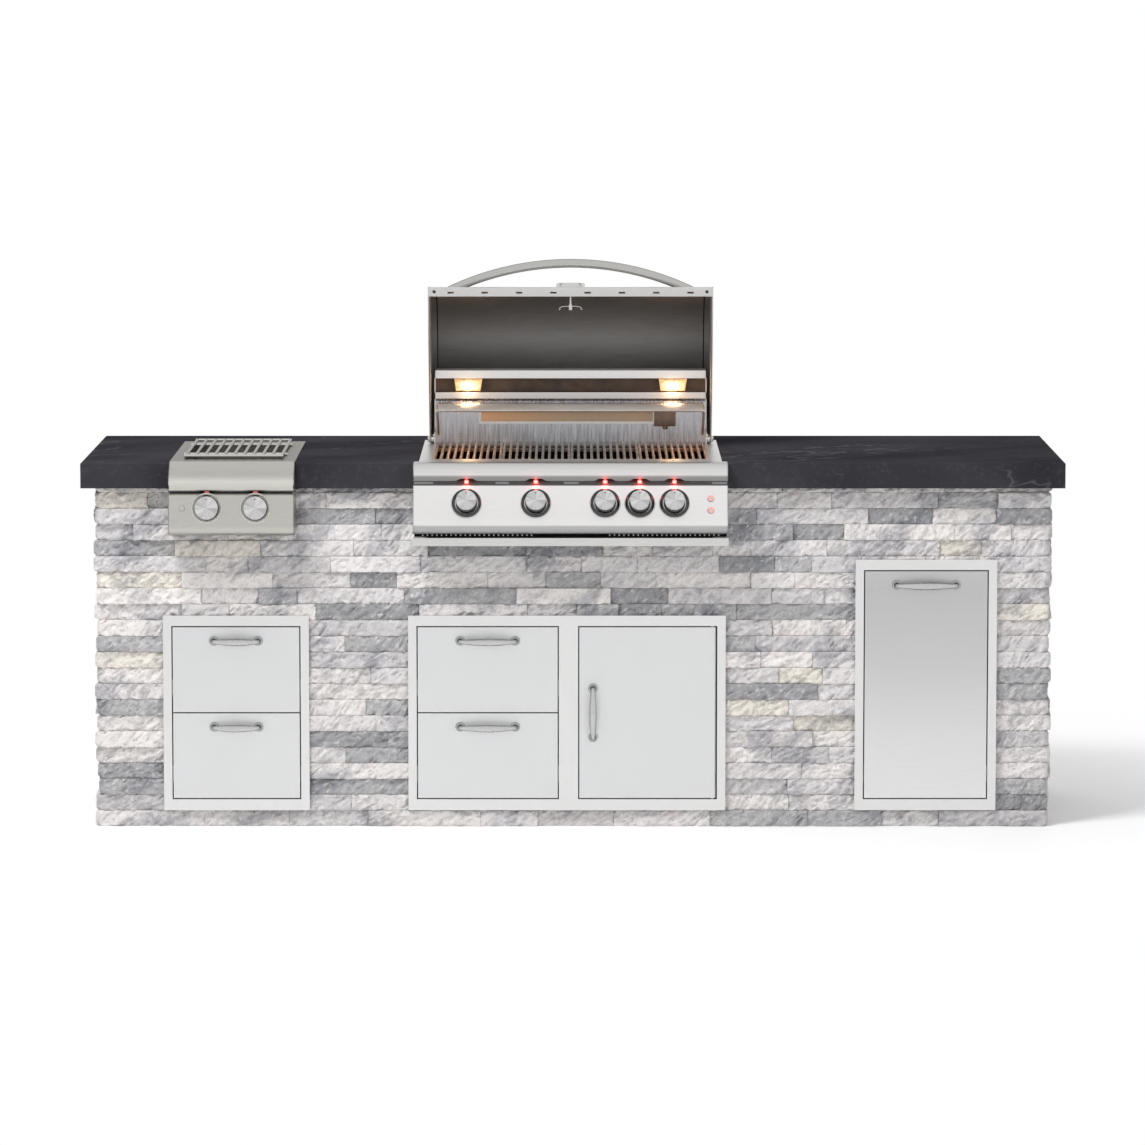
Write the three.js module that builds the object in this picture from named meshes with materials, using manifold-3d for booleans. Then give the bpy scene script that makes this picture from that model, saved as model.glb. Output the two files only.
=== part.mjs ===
// Outdoor kitchen island: a stone-clad base under a stone worktop, with a roll-top grill, a side burner,
// drawers, a cabinet door and a pull-out waste bin. The grill's hood is modelled rolled open.
// Millimetres, +Z up. X runs along the worktop, and the cook stands on the -Y side.
// Places in Y are counted from the worktop's front edge, and the last lines centre the whole in Y.

import * as THREE from "three";
import { mergeVertices } from "three/addons/utils/BufferGeometryUtils.js";
import Module from "manifold-3d";

const wasm = await Module();
wasm.setup();

// Clearances and overruns
const seatGap = 0.3;
const cutOverrun = 5;
const runningGap = 0.5;
const cutoutGap = 4;

// Worktop
const topHeight = 914.4;
const topLength = 2438.4;
const topBackMargin = 182;
const slabThickness = 31.75;
const apronHeight = 63.5;
const apronThickness = 20;
const topArris = 2.5;
const topOverhang = 26;

// Ledger stone, its backer and the frame behind it
const courseHeight = 39.9;
const stoneDepth = 30;
const stoneRelief = 9;
const stoneLean = 4;
const stoneBedDepth = 12;
const backerThickness = 12.7;
const frameTube = 32;
const frameLift = 0.5;
const courseRecessShares = [0.1, 0.7, 0.3, 1, 0.2, 0.6, 0, 0.8, 0.4];
const courseEndShares = [0, 0.9, 0.2, 1, 0.1, 0.7];

// Sheet steel
const sheetGauge = 2;
const hoodGauge = 4;
const deckThickness = 3;

// Grill body
const grillOffset = -6;
const grateBayWidth = 686;
const grateBayFront = 68;
const grateBayDepth = 440;
const grateLedge = 14;
const fireboxSide = 7;
const fireboxFront = 5;
const fireboxRear = 72;
const fireboxSkirt = 4.2;
const deckSideFlange = 25;
const deckRearFlange = 20;

// Cooking grates, burners and flame tamers
const grateCount = 4;
const grateBarCount = 11;
const grateBarWidth = 6.5;
const grateBarHeight = 10;
const grateCrossBar = 8;
const grateProud = 1;
const grateCrossShares = [0.1, 0.9];
const burnerDrop = 119.4;
const burnerRadius = 12;
const burnerBackGap = 115;
const burnerShares = [-1.5, -0.5, 0.5, 1.5];
const manifoldRadius = 10;
const manifoldSetback = 12;
const bracketWidth = 14;
const tamerWidth = 110;
const tamerRise = 26;
const tamerDrop = 76.4;

// Grill control panel
const panelOverhang = 13.5;
const panelReach = 45;
const bullnoseRadius = 20;
const grooveDrop = 46.4;
const grooveWidth = 6;
const grooveDepth = 7;
const faceStepBack = 3;
const panelFaceHeight = 97;
const panelTilt = 20;
const panelBend = 17.9;
const ventSlotHeight = 2;
const ventSlotLengthShares = [0.175, 0.175, 0.45];
const ventSlotCentreShares = [-0.327, -0.108, 0.225];

// Knobs, bezels and stems
const knobRowInset = 132;
const knobPlaceShares = [-1.5, -0.5, 0.5, 1, 1.5];
const knobDropShare = 0.47;
const knobRadius = 25;
const knobLength = 38;
const knobFlare = 1.5;
const knobTravel = 3;
const bezelWidth = 9.5;
const bezelGap = 2.5;
const bezelHeight = 7;
const stemRadius = 4;
const knobCapThickness = 10;
const stemInside = 36;
const valveWidth = 28;
const valveStart = 14;
const valveLength = 38;
const stemHoleGap = 3;

// Light buttons
const buttonRadius = 8;
const buttonLength = 10;
const buttonProud = 4;
const buttonInset = 42.5;
const buttonDropShares = [0.35, 0.64];

// Drip tray
const traySideGap = 15;
const trayLength = 520;
const trayLipOverhang = 2;
const trayLipHeight = 20;
const trayLipReach = 60;
const trayLipReturn = 12;
const trayWallHeight = 16;
const trayRailWidth = 18;
const trayLipGap = 10.4;

// Hood, in its closed place about its side pins
const pivotForward = 10;
const pivotRise = 12.3;
const hoodInset = 14;
const hoodDrop = 10;
const hoodClearance = 23.6;
const hoodBackSweep = 20;
const hoodFaceLength = 110;
const hoodFaceLean = 22;
const hoodLip = 26;
const hoodOpenAngle = 72;
const hoodSlotCount = 8;
const hoodSlotInset = 57.5;
const hoodSlotLength = 16;
const hoodSlotWidth = 5;
const pinRadius = 5;
const pinHeadRadius = 8;
const pinHeadLength = 4;
const pinBossRadius = 9;

// Hood handle and thermometer
const hoodHandleInset = 73.5;
const hoodHandleRise = 48;
const hoodHandleRadius = 11;
const hoodHandleFoot = 12;
const hoodHandlePlace = 35;
const dialRadius = 37;
const dialHeight = 11;
const dialPlace = 72;
const dialStemRadius = 3;
const dialStemLength = 58;
const wingLength = 56;
const wingThickness = 4;
const wingNutRadius = 6;
const wingNutLength = 14;

// Rear housing with lamps, rear burner and warming rack
const housingInset = 13;
const housingForward = 8;
const housingDepth = 70;
const housingFaceDepth = 12;
const housingHeight = 187.3;
const housingBrow = 20;
const lampBayHeight = 36;
const lampBayDepth = 40;
const rearStripDrop = 16;
const rearStripSlope = 7;
const earReach = 26;
const earHeight = 32;
const lampInset = 86;
const lampTopWidth = 72;
const lampBottomWidth = 62;
const lampGap = 3;
const lampLength = 34;
const rearBurnerInset = 122;
const rearBurnerHeight = 40;
const rearBurnerBorder = 6;
const rearBurnerDepth = 24;
const rearBurnerFlange = 3;
const rearBurnerOffset = -9;
const rearBurnerDrop = 18.3;
const igniterWidth = 52;
const igniterHeight = 46;
const igniterDepth = 14;
const rackInset = 10;
const rackDepth = 190;
const rackRise = 100;
const rackRodRadius = 3;
const rackRodCount = 8;
const rackFootDrop = 78;

// Side burner
const sideBurnerInset = 376.2;
const sideBayWidth = 246;
const sideBayFront = 58;
const sideBayDepth = 450;
const sideBowlSide = 3;
const sideBowlRear = 37;
const sideBowlDepth = 124;
const sideDeckFlange = 32;
const sideDeckRearFlange = 15;
const sideSlopeStart = 8;
const sideSlopeReach = 48;
const sideSlopeDrop = 32;
const sideNoseReach = 58;
const sideNoseDrop = 50;
const sideGrooveDrop = 69.4;
const sideFaceHeight = 74;
const sidePanelTilt = 8;
const sidePanelBend = 26;
const sideKnobInset = 95;
const sideKnobRadius = 29;
const sideKnobLength = 22;
const sideBezelWidth = 5.5;
const sideIgniterInset = 33;
const sideIgniterRadius = 7;
const sideGrateBarCount = 11;
const sideGrateRodRadius = 4;
const sideGrateEndGap = 7;
const sideGrateSideGap = 4;
const sideGrateSeat = 6;
const sideGrateCrossShares = [0.2, 0.8];
const ringRadius = 47;
const ringWidth = 14;
const innerRingRadius = 22;
const ringHeight = 30;
const burnerFoot = 62;
const burnerFootRadius = 12;

// Storage units
const unitBottom = 42;
const flangeThickness = 5;
const flangeSide = 21;
const flangeTop = 26;
const flangeBottom = 28;
const unitDepth = 480;
const leftUnitInset = 381.2;
const leftUnitWidth = 363;
const comboUnitOffset = -15;
const comboUnitMargin = 90;
const comboDrawerWidth = 354;
const comboStile = 48;
const drawerUnitHeight = 489;
const trashUnitInset = 341.2;
const trashUnitWidth = 352;
const trashUnitHeight = 629;
const frontGap = 3;
const frontDepth = 18;
const boxRearGap = 30;
const boxWallDrop = 70;
const boxFloorLift = 14;
const runnerSpace = 13.5;
const channelHeight = 40;
const channelGauge = 1.5;
const railThickness = 10;
const runnerLift = 45;
const carriageWallHeight = 170;
const doorBackGap = 1.5;
const doorPinInset = 9;
const doorPinRadius = 3.5;
const doorPinLength = 7;
const doorEdgeChamfer = 3;
const hingeBracket = 22;

// Bin
const binSideGap = 12.5;
const binEndGap = 24;
const binHeadroom = 101;
const binTaper = 14;
const binWall = 3;
const binRim = 9;

// Bow handles of the storage units
const handleDrop = 34;
const leftHandleLength = 134;
const comboHandleLength = 161;
const doorHandleLength = 147;
const trashHandleLength = 171;
const rosetteRadius = 12;
const rosetteThickness = 4;
const handlePostRadius = 5.5;
const handlePostLength = 20;
const handleRise = 12;
const handleMidRadius = 8.5;

// Facets of round shapes
const roundSides = 14;
const smallSides = 8;
const rodSides = 6;
const bendSteps = 4;
const bowSteps = 6;
const wideBowSteps = 10;

// Materials
const steelColour = 0xc9cac8;
const brushedSteel = new THREE.MeshStandardMaterial({ color: steelColour, metalness: 0.9, roughness: 0.32 });
const polishedSteel = new THREE.MeshStandardMaterial({ color: 0xdddedc, metalness: 1, roughness: 0.15 });
const darkSteel = new THREE.MeshStandardMaterial({ color: 0x5c5855, metalness: 0.8, roughness: 0.45 });
const galvanised = new THREE.MeshStandardMaterial({ color: 0x9a9da0, metalness: 0.7, roughness: 0.6 });
const worktopStone = new THREE.MeshStandardMaterial({ color: 0x37363b, metalness: 0, roughness: 0.55 });
const ledgerStone = new THREE.MeshStandardMaterial({ color: 0xc9c7c6, metalness: 0, roughness: 0.9 });
const cementBoard = new THREE.MeshStandardMaterial({ color: 0x8d8c88, metalness: 0, roughness: 0.95 });
const lampGlass = new THREE.MeshStandardMaterial({ color: 0xffe3b0, emissive: 0xffc070, roughness: 0.3 });
const brass = new THREE.MeshStandardMaterial({ color: 0xb79a62, metalness: 0.9, roughness: 0.4 });
const redLight = new THREE.MeshStandardMaterial({ color: 0xd9a7a3, emissive: 0x7a1510, roughness: 0.3 });
const blackPlastic = new THREE.MeshStandardMaterial({ color: 0x1c1c1d, metalness: 0, roughness: 0.6 });

// Shape helpers

// A closed geometry becomes a solid once only its merged positions are left.
function solid(geometry, matrix) {
  const bare = new THREE.BufferGeometry();
  bare.setAttribute("position", geometry.getAttribute("position").clone());
  if (geometry.index) bare.setIndex(geometry.index.clone());
  if (matrix) bare.applyMatrix4(matrix);
  const merged = mergeVertices(bare);
  const corners = merged.index.array;
  const kept = [];
  for (let i = 0; i < corners.length; i += 3) {
    const [a, b, c] = [corners[i], corners[i + 1], corners[i + 2]];
    if (a !== b && b !== c && c !== a) kept.push(a, b, c);
  }
  return new wasm.Manifold(
    new wasm.Mesh({
      numProp: 3,
      vertProperties: merged.getAttribute("position").array,
      triVerts: new Uint32Array(kept),
    }),
  );
}

// A solid from a list of corners and the triangles between them.
function indexed(positions, index) {
  const geometry = new THREE.BufferGeometry();
  geometry.setAttribute("position", new THREE.Float32BufferAttribute(positions, 3));
  geometry.setIndex(index);
  return solid(geometry);
}

function join(first, ...others) {
  return others.reduce((sum, next) => sum.add(next), first);
}

function cut(first, ...tools) {
  return tools.reduce((rest, tool) => rest.subtract(tool), first);
}

// A block between two corners: a unit cube whose corners are sent to the exact places.
function block(x0, x1, y0, y1, z0, z1) {
  const cube = new THREE.BoxGeometry();
  const p = cube.getAttribute("position");
  for (let i = 0; i < p.count; i++) {
    p.setXYZ(i, p.getX(i) < 0 ? x0 : x1, p.getY(i) < 0 ? y0 : y1, p.getZ(i) < 0 ? z0 : z1);
  }
  return solid(cube);
}

// A block whose outline changes with height: one rectangle for each level, with flat sides between.
function stacked(levels) {
  const positions = levels.flatMap(([x0, x1, y0, y1, z]) => [x0, y0, z, x1, y0, z, x1, y1, z, x0, y1, z]);
  const index = [];
  for (let i = 1; i < levels.length; i++) {
    for (let j = 0; j < 4; j++) {
      const [a, b] = [4 * (i - 1) + j, 4 * (i - 1) + ((j + 1) % 4)];
      index.push(a, b, b + 4, a, b + 4, a + 4);
    }
  }
  const top = 4 * (levels.length - 1);
  index.push(0, 2, 1, 0, 3, 2, top, top + 1, top + 2, top, top + 2, top + 3);
  return indexed(positions, index);
}

// A closed outline carried along an axis. The outline lies in (y, z) for "x", in (x, z) for "y"
// and in (x, y) for "z".
function prism(axis, outline, from, to) {
  const shape = new THREE.Shape(outline.map(([u, v]) => new THREE.Vector2(u, v)));
  const body = new THREE.ExtrudeGeometry(shape, { depth: 1, bevelEnabled: false });
  const p = body.getAttribute("position");
  for (let i = 0; i < p.count; i++) {
    const [u, v, far] = [p.getX(i), p.getY(i), p.getZ(i) > 0];
    if (axis === "x") p.setXYZ(i, far ? to : from, u, v);
    if (axis === "y") p.setXYZ(i, u, far ? from : to, v);
    if (axis === "z") p.setXYZ(i, u, v, far ? to : from);
  }
  return solid(body);
}

// Points on an arc in the plane of an outline, angles in degrees counted from the first axis.
function arc(u, v, radius, fromAngle, toAngle, steps) {
  return Array.from({ length: steps + 1 }, (_, i) => {
    const angle = THREE.MathUtils.degToRad(fromAngle + ((toAngle - fromAngle) * i) / steps);
    return [u + radius * Math.cos(angle), v + radius * Math.sin(angle)];
  });
}

// The outline of a bent sheet: a line of folds, and the same line set off to its left by the gauge,
// or to its right where the gauge is negative.
function bentSheet(line, gauge) {
  const normals = line.slice(1).map(([u, v], i) => {
    const [du, dv] = [u - line[i][0], v - line[i][1]];
    const length = Math.hypot(du, dv);
    return [-dv / length, du / length];
  });
  const offset = line.map(([u, v], i) => {
    const before = normals[Math.max(i - 1, 0)];
    const after = normals[Math.min(i, normals.length - 1)];
    const reach = gauge / (1 + before[0] * after[0] + before[1] * after[1]);
    return [u + reach * (before[0] + after[0]), v + reach * (before[1] + after[1])];
  });
  return [...line, ...offset.reverse()];
}

// A round body turned about local z from (radius, height) points that start and end on the axis,
// or that go once round a ring.
function turned(profile, sides, matrix) {
  const points = profile.map(([r, h]) => new THREE.Vector2(r, h));
  if (profile[0][0] > 0) points.push(points[0].clone());
  if (THREE.ShapeUtils.area(points) < 0) points.reverse();
  const body = new THREE.LatheGeometry(points, sides);
  body.rotateX(Math.PI / 2);
  return solid(body, matrix);
}

// A round rod from one point to another.
function rod(from, to, radius, sides) {
  const [a, b] = [new THREE.Vector3(...from), new THREE.Vector3(...to)];
  const way = b.clone().sub(a);
  const body = new THREE.CylinderGeometry(radius, radius, way.length(), sides);
  const turn = new THREE.Quaternion().setFromUnitVectors(new THREE.Vector3(0, 1, 0), way.clone().normalize());
  const place = a.add(b).multiplyScalar(0.5);
  return solid(body, new THREE.Matrix4().compose(place, turn, new THREE.Vector3(1, 1, 1)));
}

// A bar bowed along local x and standing out along local z, a circle's arc with a thicker middle.
function bowBar(chord, base, rise, endRadius, midRadius, steps, sides) {
  const radius = ((chord / 2) ** 2 + rise ** 2) / (2 * rise);
  const halfAngle = Math.asin(chord / 2 / radius);
  const positions = [];
  const index = [];
  for (let i = 0; i <= steps; i++) {
    const share = (2 * i) / steps - 1;
    const angle = share * halfAngle;
    const thick = endRadius + (midRadius - endRadius) * Math.cos((share * Math.PI) / 2);
    const [cx, cz] = [radius * Math.sin(angle), base + rise - radius * (1 - Math.cos(angle))];
    for (let j = 0; j < sides; j++) {
      const turn = (2 * Math.PI * j) / sides;
      const out = thick * Math.cos(turn);
      positions.push(cx + out * Math.sin(angle), thick * Math.sin(turn), cz + out * Math.cos(angle));
    }
  }
  const ring = (i, j) => i * sides + (j % sides);
  for (let i = 0; i < steps; i++) {
    for (let j = 0; j < sides; j++) {
      index.push(ring(i, j), ring(i + 1, j), ring(i + 1, j + 1));
      index.push(ring(i, j), ring(i + 1, j + 1), ring(i, j + 1));
    }
  }
  for (let j = 1; j < sides - 1; j++) {
    index.push(ring(0, 0), ring(0, j), ring(0, j + 1));
    index.push(ring(steps, 0), ring(steps, j + 1), ring(steps, j));
  }
  return indexed(positions, index);
}

// A placement on a front that leans back by the tilt: local x runs along the island,
// local y up the face and local z straight out of it.
function onFace(x, y, z, tilt) {
  const turn = new THREE.Matrix4().makeRotationX(Math.PI / 2 - THREE.MathUtils.degToRad(tilt));
  return new THREE.Matrix4().makeTranslation(x, y, z).multiply(turn);
}

// A named mesh with flat facets.
function piece(parent, name, body, material) {
  const { vertProperties, triVerts } = body.getMesh();
  const shared = new THREE.BufferGeometry();
  shared.setAttribute("position", new THREE.BufferAttribute(vertProperties, 3));
  shared.setIndex(new THREE.BufferAttribute(triVerts, 1));
  const geometry = shared.toNonIndexed();
  geometry.computeVertexNormals();
  const mesh = new THREE.Mesh(geometry, material);
  mesh.name = name;
  parent.add(mesh);
  return mesh;
}

// A group whose local z stands out of a leaning front.
function faceGroup(parent, x, y, z, tilt) {
  const group = new THREE.Group();
  group.position.set(x, y, z);
  group.rotation.x = Math.PI / 2 - THREE.MathUtils.degToRad(tilt);
  parent.add(group);
  return group;
}

const island = new THREE.Group();

// Places that several pieces share, worked out from the bay that the cooking grates fill
const grateBayHalf = grateBayWidth / 2;
const grateBayBack = grateBayFront + grateBayDepth;
const fireboxHalf = grateBayHalf + fireboxSide;
const fireboxBack = grateBayBack + fireboxRear;
const grillDeckHalf = fireboxHalf + deckSideFlange;
const grillDeckBack = fireboxBack + deckRearFlange;
const panelHalf = grillDeckHalf + panelOverhang;
const knobPitch = (panelHalf - knobRowInset) / knobPlaceShares[knobPlaceShares.length - 1];

const topDepth = fireboxBack + topBackMargin;
const slabUnderside = topHeight - slabThickness;
const apronBottom = topHeight - apronHeight;
const baseHeight = slabUnderside - seatGap;
const baseHalf = topLength / 2 - topOverhang;
const baseBack = topDepth - topOverhang;
const deckTop = topHeight + seatGap + deckThickness;
const grateTop = deckTop + grateProud;
const grateFloor = grateTop - grateBarHeight - grateCrossBar;
const burnerHeight = topHeight - burnerDrop;
const panelBack = -seatGap;
const cheekBack = topOverhang - seatGap;
const unitFaceY = topOverhang - seatGap - flangeThickness;

// The control panel's leaning face, and the drip tray below the panel
const tiltRad = THREE.MathUtils.degToRad(panelTilt);
const grooveHeight = topHeight - grooveDrop;
const faceTopY = faceStepBack - panelReach;
const faceTopZ = grooveHeight - grooveWidth / 2;
const faceBottomY = faceTopY - panelFaceHeight * Math.tan(tiltRad);
const faceBottomZ = faceTopZ - panelFaceHeight;
const panelBottom = faceBottomZ - panelBend * (1 + Math.sin(tiltRad));
const trayFloor = panelBottom - trayLipGap - trayLipHeight;
const fireboxBottom = trayFloor - fireboxSkirt;

// The side burner's bay, bowl and deck
const sideOffset = sideBurnerInset - topLength / 2;
const sideBayHalf = sideBayWidth / 2;
const sideBayBack = sideBayFront + sideBayDepth;
const sideBodyHalf = sideBayHalf + sideBowlSide;
const sideBodyBack = sideBayBack + sideBowlRear;
const sideBodyBottom = topHeight - sideBowlDepth;
const sideHalf = sideBayHalf + sideDeckFlange;

// The three storage units: where they stand and how large their flanges are.
const leftUnit = { x: leftUnitInset - topLength / 2, width: leftUnitWidth, height: drawerUnitHeight };
const comboUnit = { x: comboUnitOffset, width: 2 * fireboxHalf + comboUnitMargin, height: drawerUnitHeight };
const trashUnit = { x: topLength / 2 - trashUnitInset, width: trashUnitWidth, height: trashUnitHeight };
const units = [leftUnit, comboUnit, trashUnit];

// The liner behind a unit's flange, set off outwards by a margin.
function linerBox(unit, y0, y1, margin) {
  const half = unit.width / 2 - flangeSide + sheetGauge + margin;
  const bottom = unitBottom + flangeBottom - sheetGauge - margin;
  const top = unitBottom + unit.height - flangeTop + sheetGauge + margin;
  return block(unit.x - half, unit.x + half, y0, y1, bottom, top);
}

// The holes that a front wall needs: one for each unit, and open notches for the grill and the side burner.
function frontOpenings(y0, y1) {
  const grill = block(
    grillOffset - fireboxHalf - cutoutGap,
    grillOffset + fireboxHalf + cutoutGap,
    y0,
    y1,
    fireboxBottom - cutoutGap,
    topHeight,
  );
  const side = block(
    sideOffset - sideBodyHalf - cutoutGap,
    sideOffset + sideBodyHalf + cutoutGap,
    y0,
    y1,
    sideBodyBottom - cutoutGap,
    topHeight,
  );
  return [grill, side, ...units.map((unit) => linerBox(unit, y0, y1, cutoutGap))];
}

// Worktop: a slab with a mitred apron, notched from the front for the two gas appliances.
function makeCountertop() {
  const half = topLength / 2;
  const arrised = (low, high) => [
    [low, apronBottom],
    [high, apronBottom],
    [high, topHeight - topArris],
    [high - topArris, topHeight],
    [low + topArris, topHeight],
    [low, topHeight - topArris],
  ];
  const whole = prism("x", arrised(0, topDepth), -half, half).intersect(
    prism("y", arrised(-half, half), -cutOverrun, topDepth + cutOverrun),
  );
  const hollow = block(
    apronThickness - half,
    half - apronThickness,
    apronThickness,
    topDepth - apronThickness,
    apronBottom - cutOverrun,
    slabUnderside,
  );
  const notch = (centre, bodyHalf, back) =>
    block(
      centre - bodyHalf - cutoutGap,
      centre + bodyHalf + cutoutGap,
      -cutOverrun,
      back + cutoutGap,
      apronBottom - cutOverrun,
      topHeight + cutOverrun,
    );
  const body = cut(
    whole,
    hollow,
    notch(grillOffset, fireboxHalf, fireboxBack),
    notch(sideOffset, sideBodyHalf, sideBodyBack),
  );
  piece(island, "countertop", body, worktopStone);
}

// Ledger stone: a bed with one row of split stones for each course, standing out by its own amount.
const courseCount = Math.floor(baseHeight / courseHeight);
const courseTop = (i) => (i === courseCount - 1 ? baseHeight : (i + 1) * courseHeight);

const courseFace = (i, shift) =>
  stoneDepth - stoneRelief * courseRecessShares[(i + shift) % courseRecessShares.length];
const courseEnd = (i, shift) => stoneRelief * courseEndShares[(i + shift) % courseEndShares.length];

// The rows of one wall: each stands out by its own amount and leans back towards its top, so the rows
// cast a line of shadow on each other. A row fills a rectangle set by its face and by how far it leans.
function courses(shift, rectangle) {
  return Array.from({ length: courseCount }, (_, i) => {
    const face = courseFace(i, shift);
    return stacked([
      [...rectangle(i, face, 0), i * courseHeight],
      [...rectangle(i, face - stoneLean, stoneLean), courseTop(i)],
    ]);
  });
}

// A depth out of a wall's back as an ordered pair of places.
const outOf = (back, outward, depth) => (outward < 0 ? [back - depth, back] : [back, back + depth]);

// A long wall: its rows' ends stand out or in by turns, as corner stones do.
// outward is -1 for the front and 1 for the back.
function longWall(outward, shift) {
  const back = outward < 0 ? topOverhang + stoneDepth : baseBack - stoneDepth;
  const bedHalf = baseHalf - stoneRelief - stoneLean - seatGap;
  const bed = block(-bedHalf, bedHalf, ...outOf(back, outward, stoneBedDepth), 0, baseHeight);
  const rows = courses(shift, (i, face, lean) => [
    courseEnd(i, shift + 1) + lean - baseHalf,
    baseHalf - lean - courseEnd(i, shift),
    ...outOf(back, outward, face),
  ]);
  return join(bed, ...rows);
}

// A short wall between the long ones. outward is -1 for the left and 1 for the right.
function shortWall(outward, shift) {
  const back = outward * (baseHalf - stoneDepth);
  const [y0, y1] = [topOverhang + stoneDepth + seatGap, baseBack - stoneDepth - seatGap];
  const bed = block(...outOf(back, outward, stoneBedDepth), y0 + stoneLean, y1 - stoneLean, 0, baseHeight);
  return join(bed, ...courses(shift, (i, face) => [...outOf(back, outward, face), y0, y1]));
}

function makeStone() {
  const openings = frontOpenings(topOverhang - cutOverrun, topOverhang + stoneDepth + cutOverrun);
  piece(island, "stone_front", cut(longWall(-1, 0), ...openings), ledgerStone);
  piece(island, "stone_back", longWall(1, 2), ledgerStone);
  piece(island, "stone_left", shortWall(-1, 1), ledgerStone);
  piece(island, "stone_right", shortWall(1, 3), ledgerStone);
}

// Cement board: a ring inside the stone, with the front's openings.
const boardFront = topOverhang + stoneDepth + seatGap;
const boardBack = baseBack - stoneDepth - seatGap;
const boardHalf = baseHalf - stoneDepth - seatGap;

function makeBackerBoard() {
  const ring = cut(
    block(-boardHalf, boardHalf, boardFront, boardBack, frameLift, baseHeight),
    block(
      backerThickness - boardHalf,
      boardHalf - backerThickness,
      boardFront + backerThickness,
      boardBack - backerThickness,
      -cutOverrun,
      baseHeight + cutOverrun,
    ),
  );
  const openings = frontOpenings(boardFront - cutOverrun, boardFront + backerThickness + cutOverrun);
  piece(island, "backer_board", cut(ring, ...openings), cementBoard);
}

// Steel frame: rails at the floor and under the slab, posts at the corners and beside each unit.
function makeSteelFrame() {
  const half = boardHalf - backerThickness - seatGap;
  const front = boardFront + backerThickness + seatGap;
  const back = boardBack - backerThickness - seatGap;
  const [low, high] = [frameLift, baseHeight];
  const alongX = (x0, x1, y, z) => block(x0, x1, y, y + frameTube, z, z + frameTube);
  const alongY = (x, z) => block(x, x + frameTube, front, back, z, z + frameTube);
  const post = (x, y) => block(x, x + frameTube, y, y + frameTube, low, high);
  const beside = units.map((unit) => {
    const reach = unit.width / 2 - flangeSide + sheetGauge + cutoutGap;
    return [unit.x - reach - frameTube, unit.x + reach];
  });
  const topRail = high - frameTube;
  const grillReach = fireboxHalf + cutoutGap;
  const sideReach = sideBodyHalf + cutoutGap;
  const parts = [
    alongX(-half, half, front, low),
    alongX(-half, half, back - frameTube, low),
    alongX(-half, half, back - frameTube, topRail),
    alongX(-half, sideOffset - sideReach, front, topRail),
    alongX(sideOffset + sideReach, grillOffset - grillReach, front, topRail),
    alongX(grillOffset + grillReach, half, front, topRail),
    alongX(beside[0][0], beside[0][1], front, sideBodyBottom - cutoutGap - frameTube),
    alongX(beside[1][0], beside[1][1], front, fireboxBottom - cutoutGap - frameTube),
  ];
  for (const x of [-half, half - frameTube]) {
    parts.push(alongY(x, low), alongY(x, topRail), post(x, front), post(x, back - frameTube));
  }
  for (const x of beside.flat()) {
    parts.push(post(x, front), alongY(x, topRail));
  }
  piece(island, "steel_frame", join(...parts), galvanised);
}

// Storage units

// A bay's clear opening behind the flange: from x0 to x1, over the unit's full clear height.
function bayOf(unit, x0, x1) {
  return { x0, x1, z0: unitBottom + flangeBottom, z1: unitBottom + unit.height - flangeTop };
}

const unitLow = (unit) => unit.x - unit.width / 2 + flangeSide;
const unitHigh = (unit) => unit.x + unit.width / 2 - flangeSide;
const leftBay = bayOf(leftUnit, unitLow(leftUnit), unitHigh(leftUnit));
const comboDrawerBay = bayOf(comboUnit, unitLow(comboUnit), unitLow(comboUnit) + comboDrawerWidth);
const doorBay = bayOf(comboUnit, comboDrawerBay.x1 + comboStile, unitHigh(comboUnit));
const trashBay = bayOf(trashUnit, unitLow(trashUnit), unitHigh(trashUnit));

// The front of one of the drawers that share a bay, counted from the top.
function frontOf(bay, i, count) {
  const height = (bay.z1 - bay.z0 - frontGap * (count + 1)) / count;
  const z1 = bay.z1 - frontGap - i * (height + frontGap);
  return { x0: bay.x0 + frontGap, x1: bay.x1 - frontGap, z0: z1 - height, z1 };
}

const drawers = [
  { name: "left_drawer_upper", bay: leftBay, front: frontOf(leftBay, 0, 2), handle: leftHandleLength },
  { name: "left_drawer_lower", bay: leftBay, front: frontOf(leftBay, 1, 2), handle: leftHandleLength },
  { name: "combo_drawer_upper", bay: comboDrawerBay, front: frontOf(comboDrawerBay, 0, 2), handle: comboHandleLength },
  { name: "combo_drawer_lower", bay: comboDrawerBay, front: frontOf(comboDrawerBay, 1, 2), handle: comboHandleLength },
  { name: "trash_drawer", bay: trashBay, front: frontOf(trashBay, 0, 1), handle: trashHandleLength },
];

const boxFront = unitFaceY + frontDepth;
const boxBack = unitFaceY + unitDepth - sheetGauge - boxRearGap;

// The outer members of a drawer's two runners, fixed to the bay's walls.
function runnerChannels(drawer) {
  const middle = drawer.front.z0 + boxFloorLift + runnerLift;
  const [z0, z1] = [middle - channelHeight / 2, middle + channelHeight / 2];
  const reach = runnerSpace - 2 * runningGap;
  const section = (wall, inward) => [
    [wall - inward * channelGauge, z0],
    [wall + inward * reach, z0],
    [wall + inward * reach, z0 + channelGauge],
    [wall + inward * channelGauge, z0 + channelGauge],
    [wall + inward * channelGauge, z1 - channelGauge],
    [wall + inward * reach, z1 - channelGauge],
    [wall + inward * reach, z1],
    [wall - inward * channelGauge, z1],
  ];
  return [
    prism("y", section(drawer.bay.x0, 1), boxFront + runningGap, boxBack),
    prism("y", section(drawer.bay.x1, -1), boxFront + runningGap, boxBack),
  ];
}

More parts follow.
